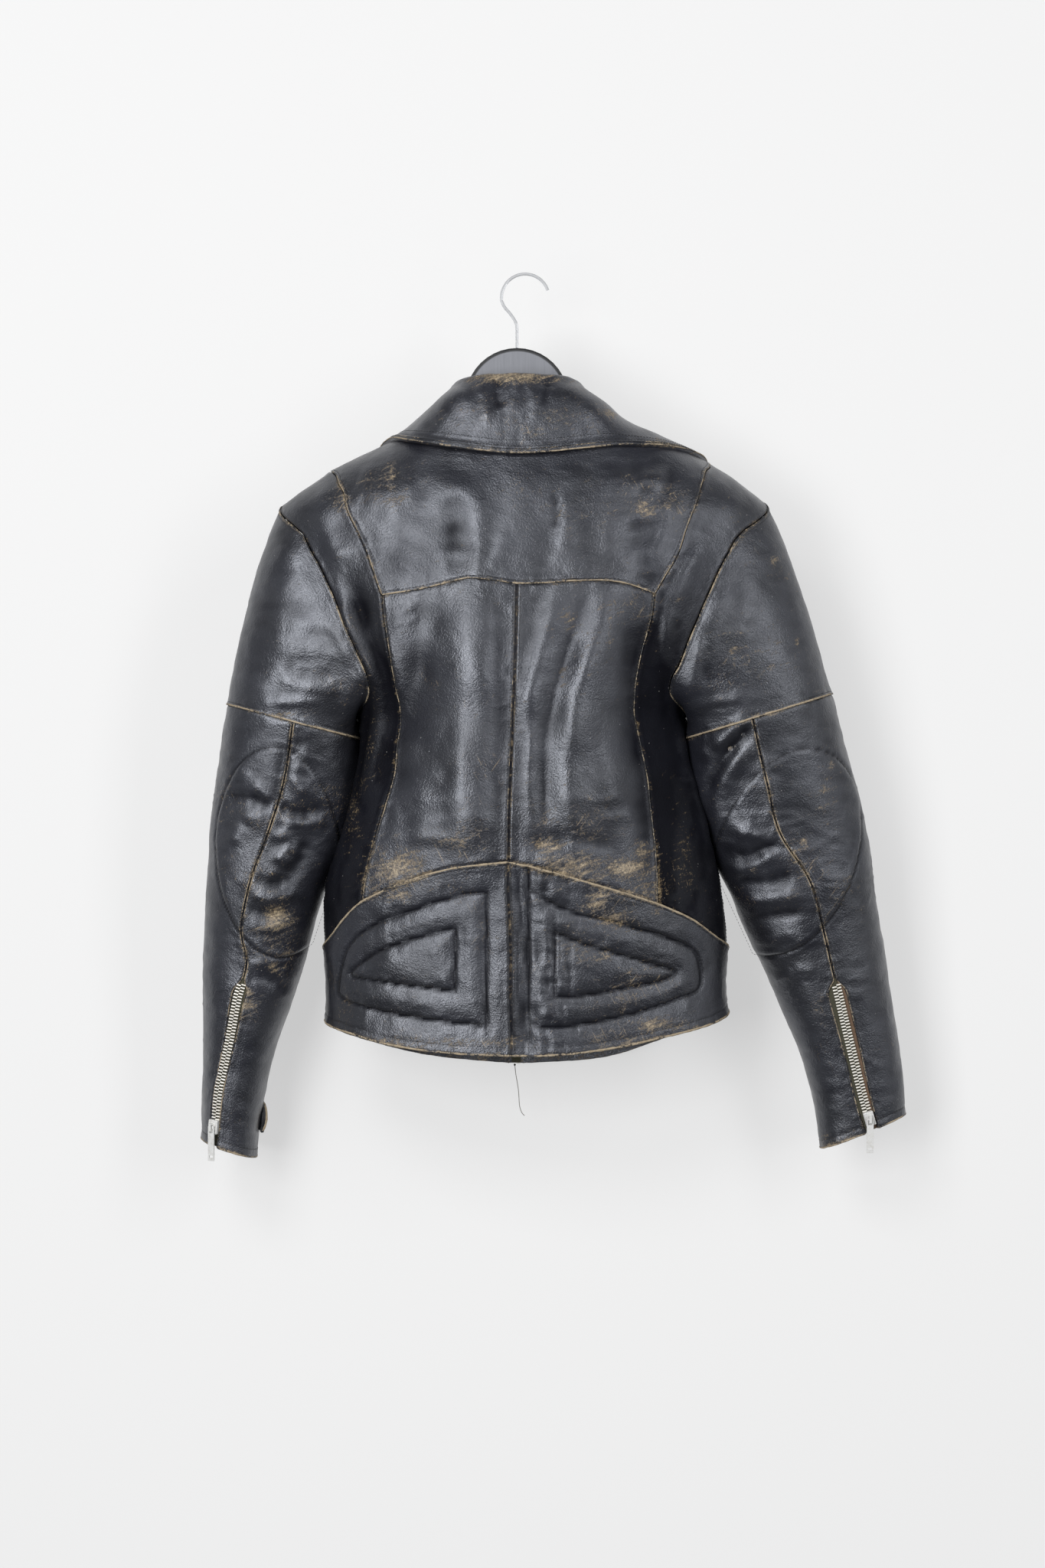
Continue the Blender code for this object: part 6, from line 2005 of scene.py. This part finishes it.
WALL_Y, WALL_REACH = -0.125, (4, 2.6)
WALL_PAINT, WALL_GLOW = 0.31, 0.555
AIR_COLOUR, AIR_STRENGTH = (0.94, 0.97, 1.0, 1), 0.1
LAMPS = (
    # name, place, aim, width and height, watts
    ("key", (1.2, 2.9, -0.35), (0, 0, -0.5), (1.05, 1.3), 60),
    ("upper_key", (1.1, 2.8, 1.25), (0, 0, -0.4), (1.15, 0.95), 40),
    ("fill", (-1.9, 2.6, 0.3), (0, 0, -0.5), (0.7, 2.4), 36),
    ("left_edge", (2.2, 0.9, -0.3), (0.2, 0, -0.5), (0.7, 2.4), 2),
    ("right_edge", (-2.2, 0.9, -0.3), (-0.2, 0, -0.5), (0.7, 2.4), 6),
)


def lamp(name, place, aim, size, power):
    light = bpy.data.lights.new(name, "AREA")
    light.shape = "RECTANGLE"
    light.size, light.size_y = size
    light.energy = power
    holder = placed(name, light)
    holder.location = place
    holder.rotation_euler = (Vector(aim) - Vector(place)).to_track_quat("-Z", "Y").to_euler()


def wall_material():
    """A pale wall that is only there from its front, so that no view of the other side is hidden."""
    made = bpy.data.materials.new("pale_wall")
    made.use_nodes = True
    made.node_tree.nodes.clear()
    add = Shading(made.node_tree, None).add
    ray = add("LightPath", {}).outputs
    seen = add("Math", {0: ray["Is Camera Ray"], 1: ray["Is Glossy Ray"]}, operation="MAXIMUM")
    paint = add("BsdfDiffuse", {"Color": opaque((WALL_PAINT,) * 3)})
    glow = add("Emission", {"Color": opaque((WALL_GLOW,) * 3), "Strength": seen.outputs[0]})
    both = add("AddShader", {0: paint.outputs[0], 1: glow.outputs[0]})
    facing_away = add("NewGeometry", {}).outputs["Backfacing"]
    mix = add("MixShader", {0: facing_away, 1: both.outputs[0],
                            2: add("BsdfTransparent", {}).outputs[0]})
    add("OutputMaterial", {"Surface": mix.outputs[0]})
    return made


def build_stage():
    for row in LAMPS:
        lamp(*row)
    mesh = bpy.data.meshes.new("back_wall")
    x, z = WALL_REACH
    mesh.from_pydata([(x, WALL_Y, -z), (-x, WALL_Y, -z), (-x, WALL_Y, z), (x, WALL_Y, z)], [],
                     [(0, 1, 2, 3)])
    mesh.materials.append(wall_material())
    placed("back_wall", mesh)
    world = bpy.data.worlds.new("room")
    bpy.context.scene.world = world
    world.use_nodes = True
    air = world.node_tree.nodes["Background"].inputs
    air["Color"].default_value = AIR_COLOUR
    air["Strength"].default_value = AIR_STRENGTH
    bpy.context.scene.view_settings.view_transform = "Standard"


build_stage()


bpy.context.view_layer.update()
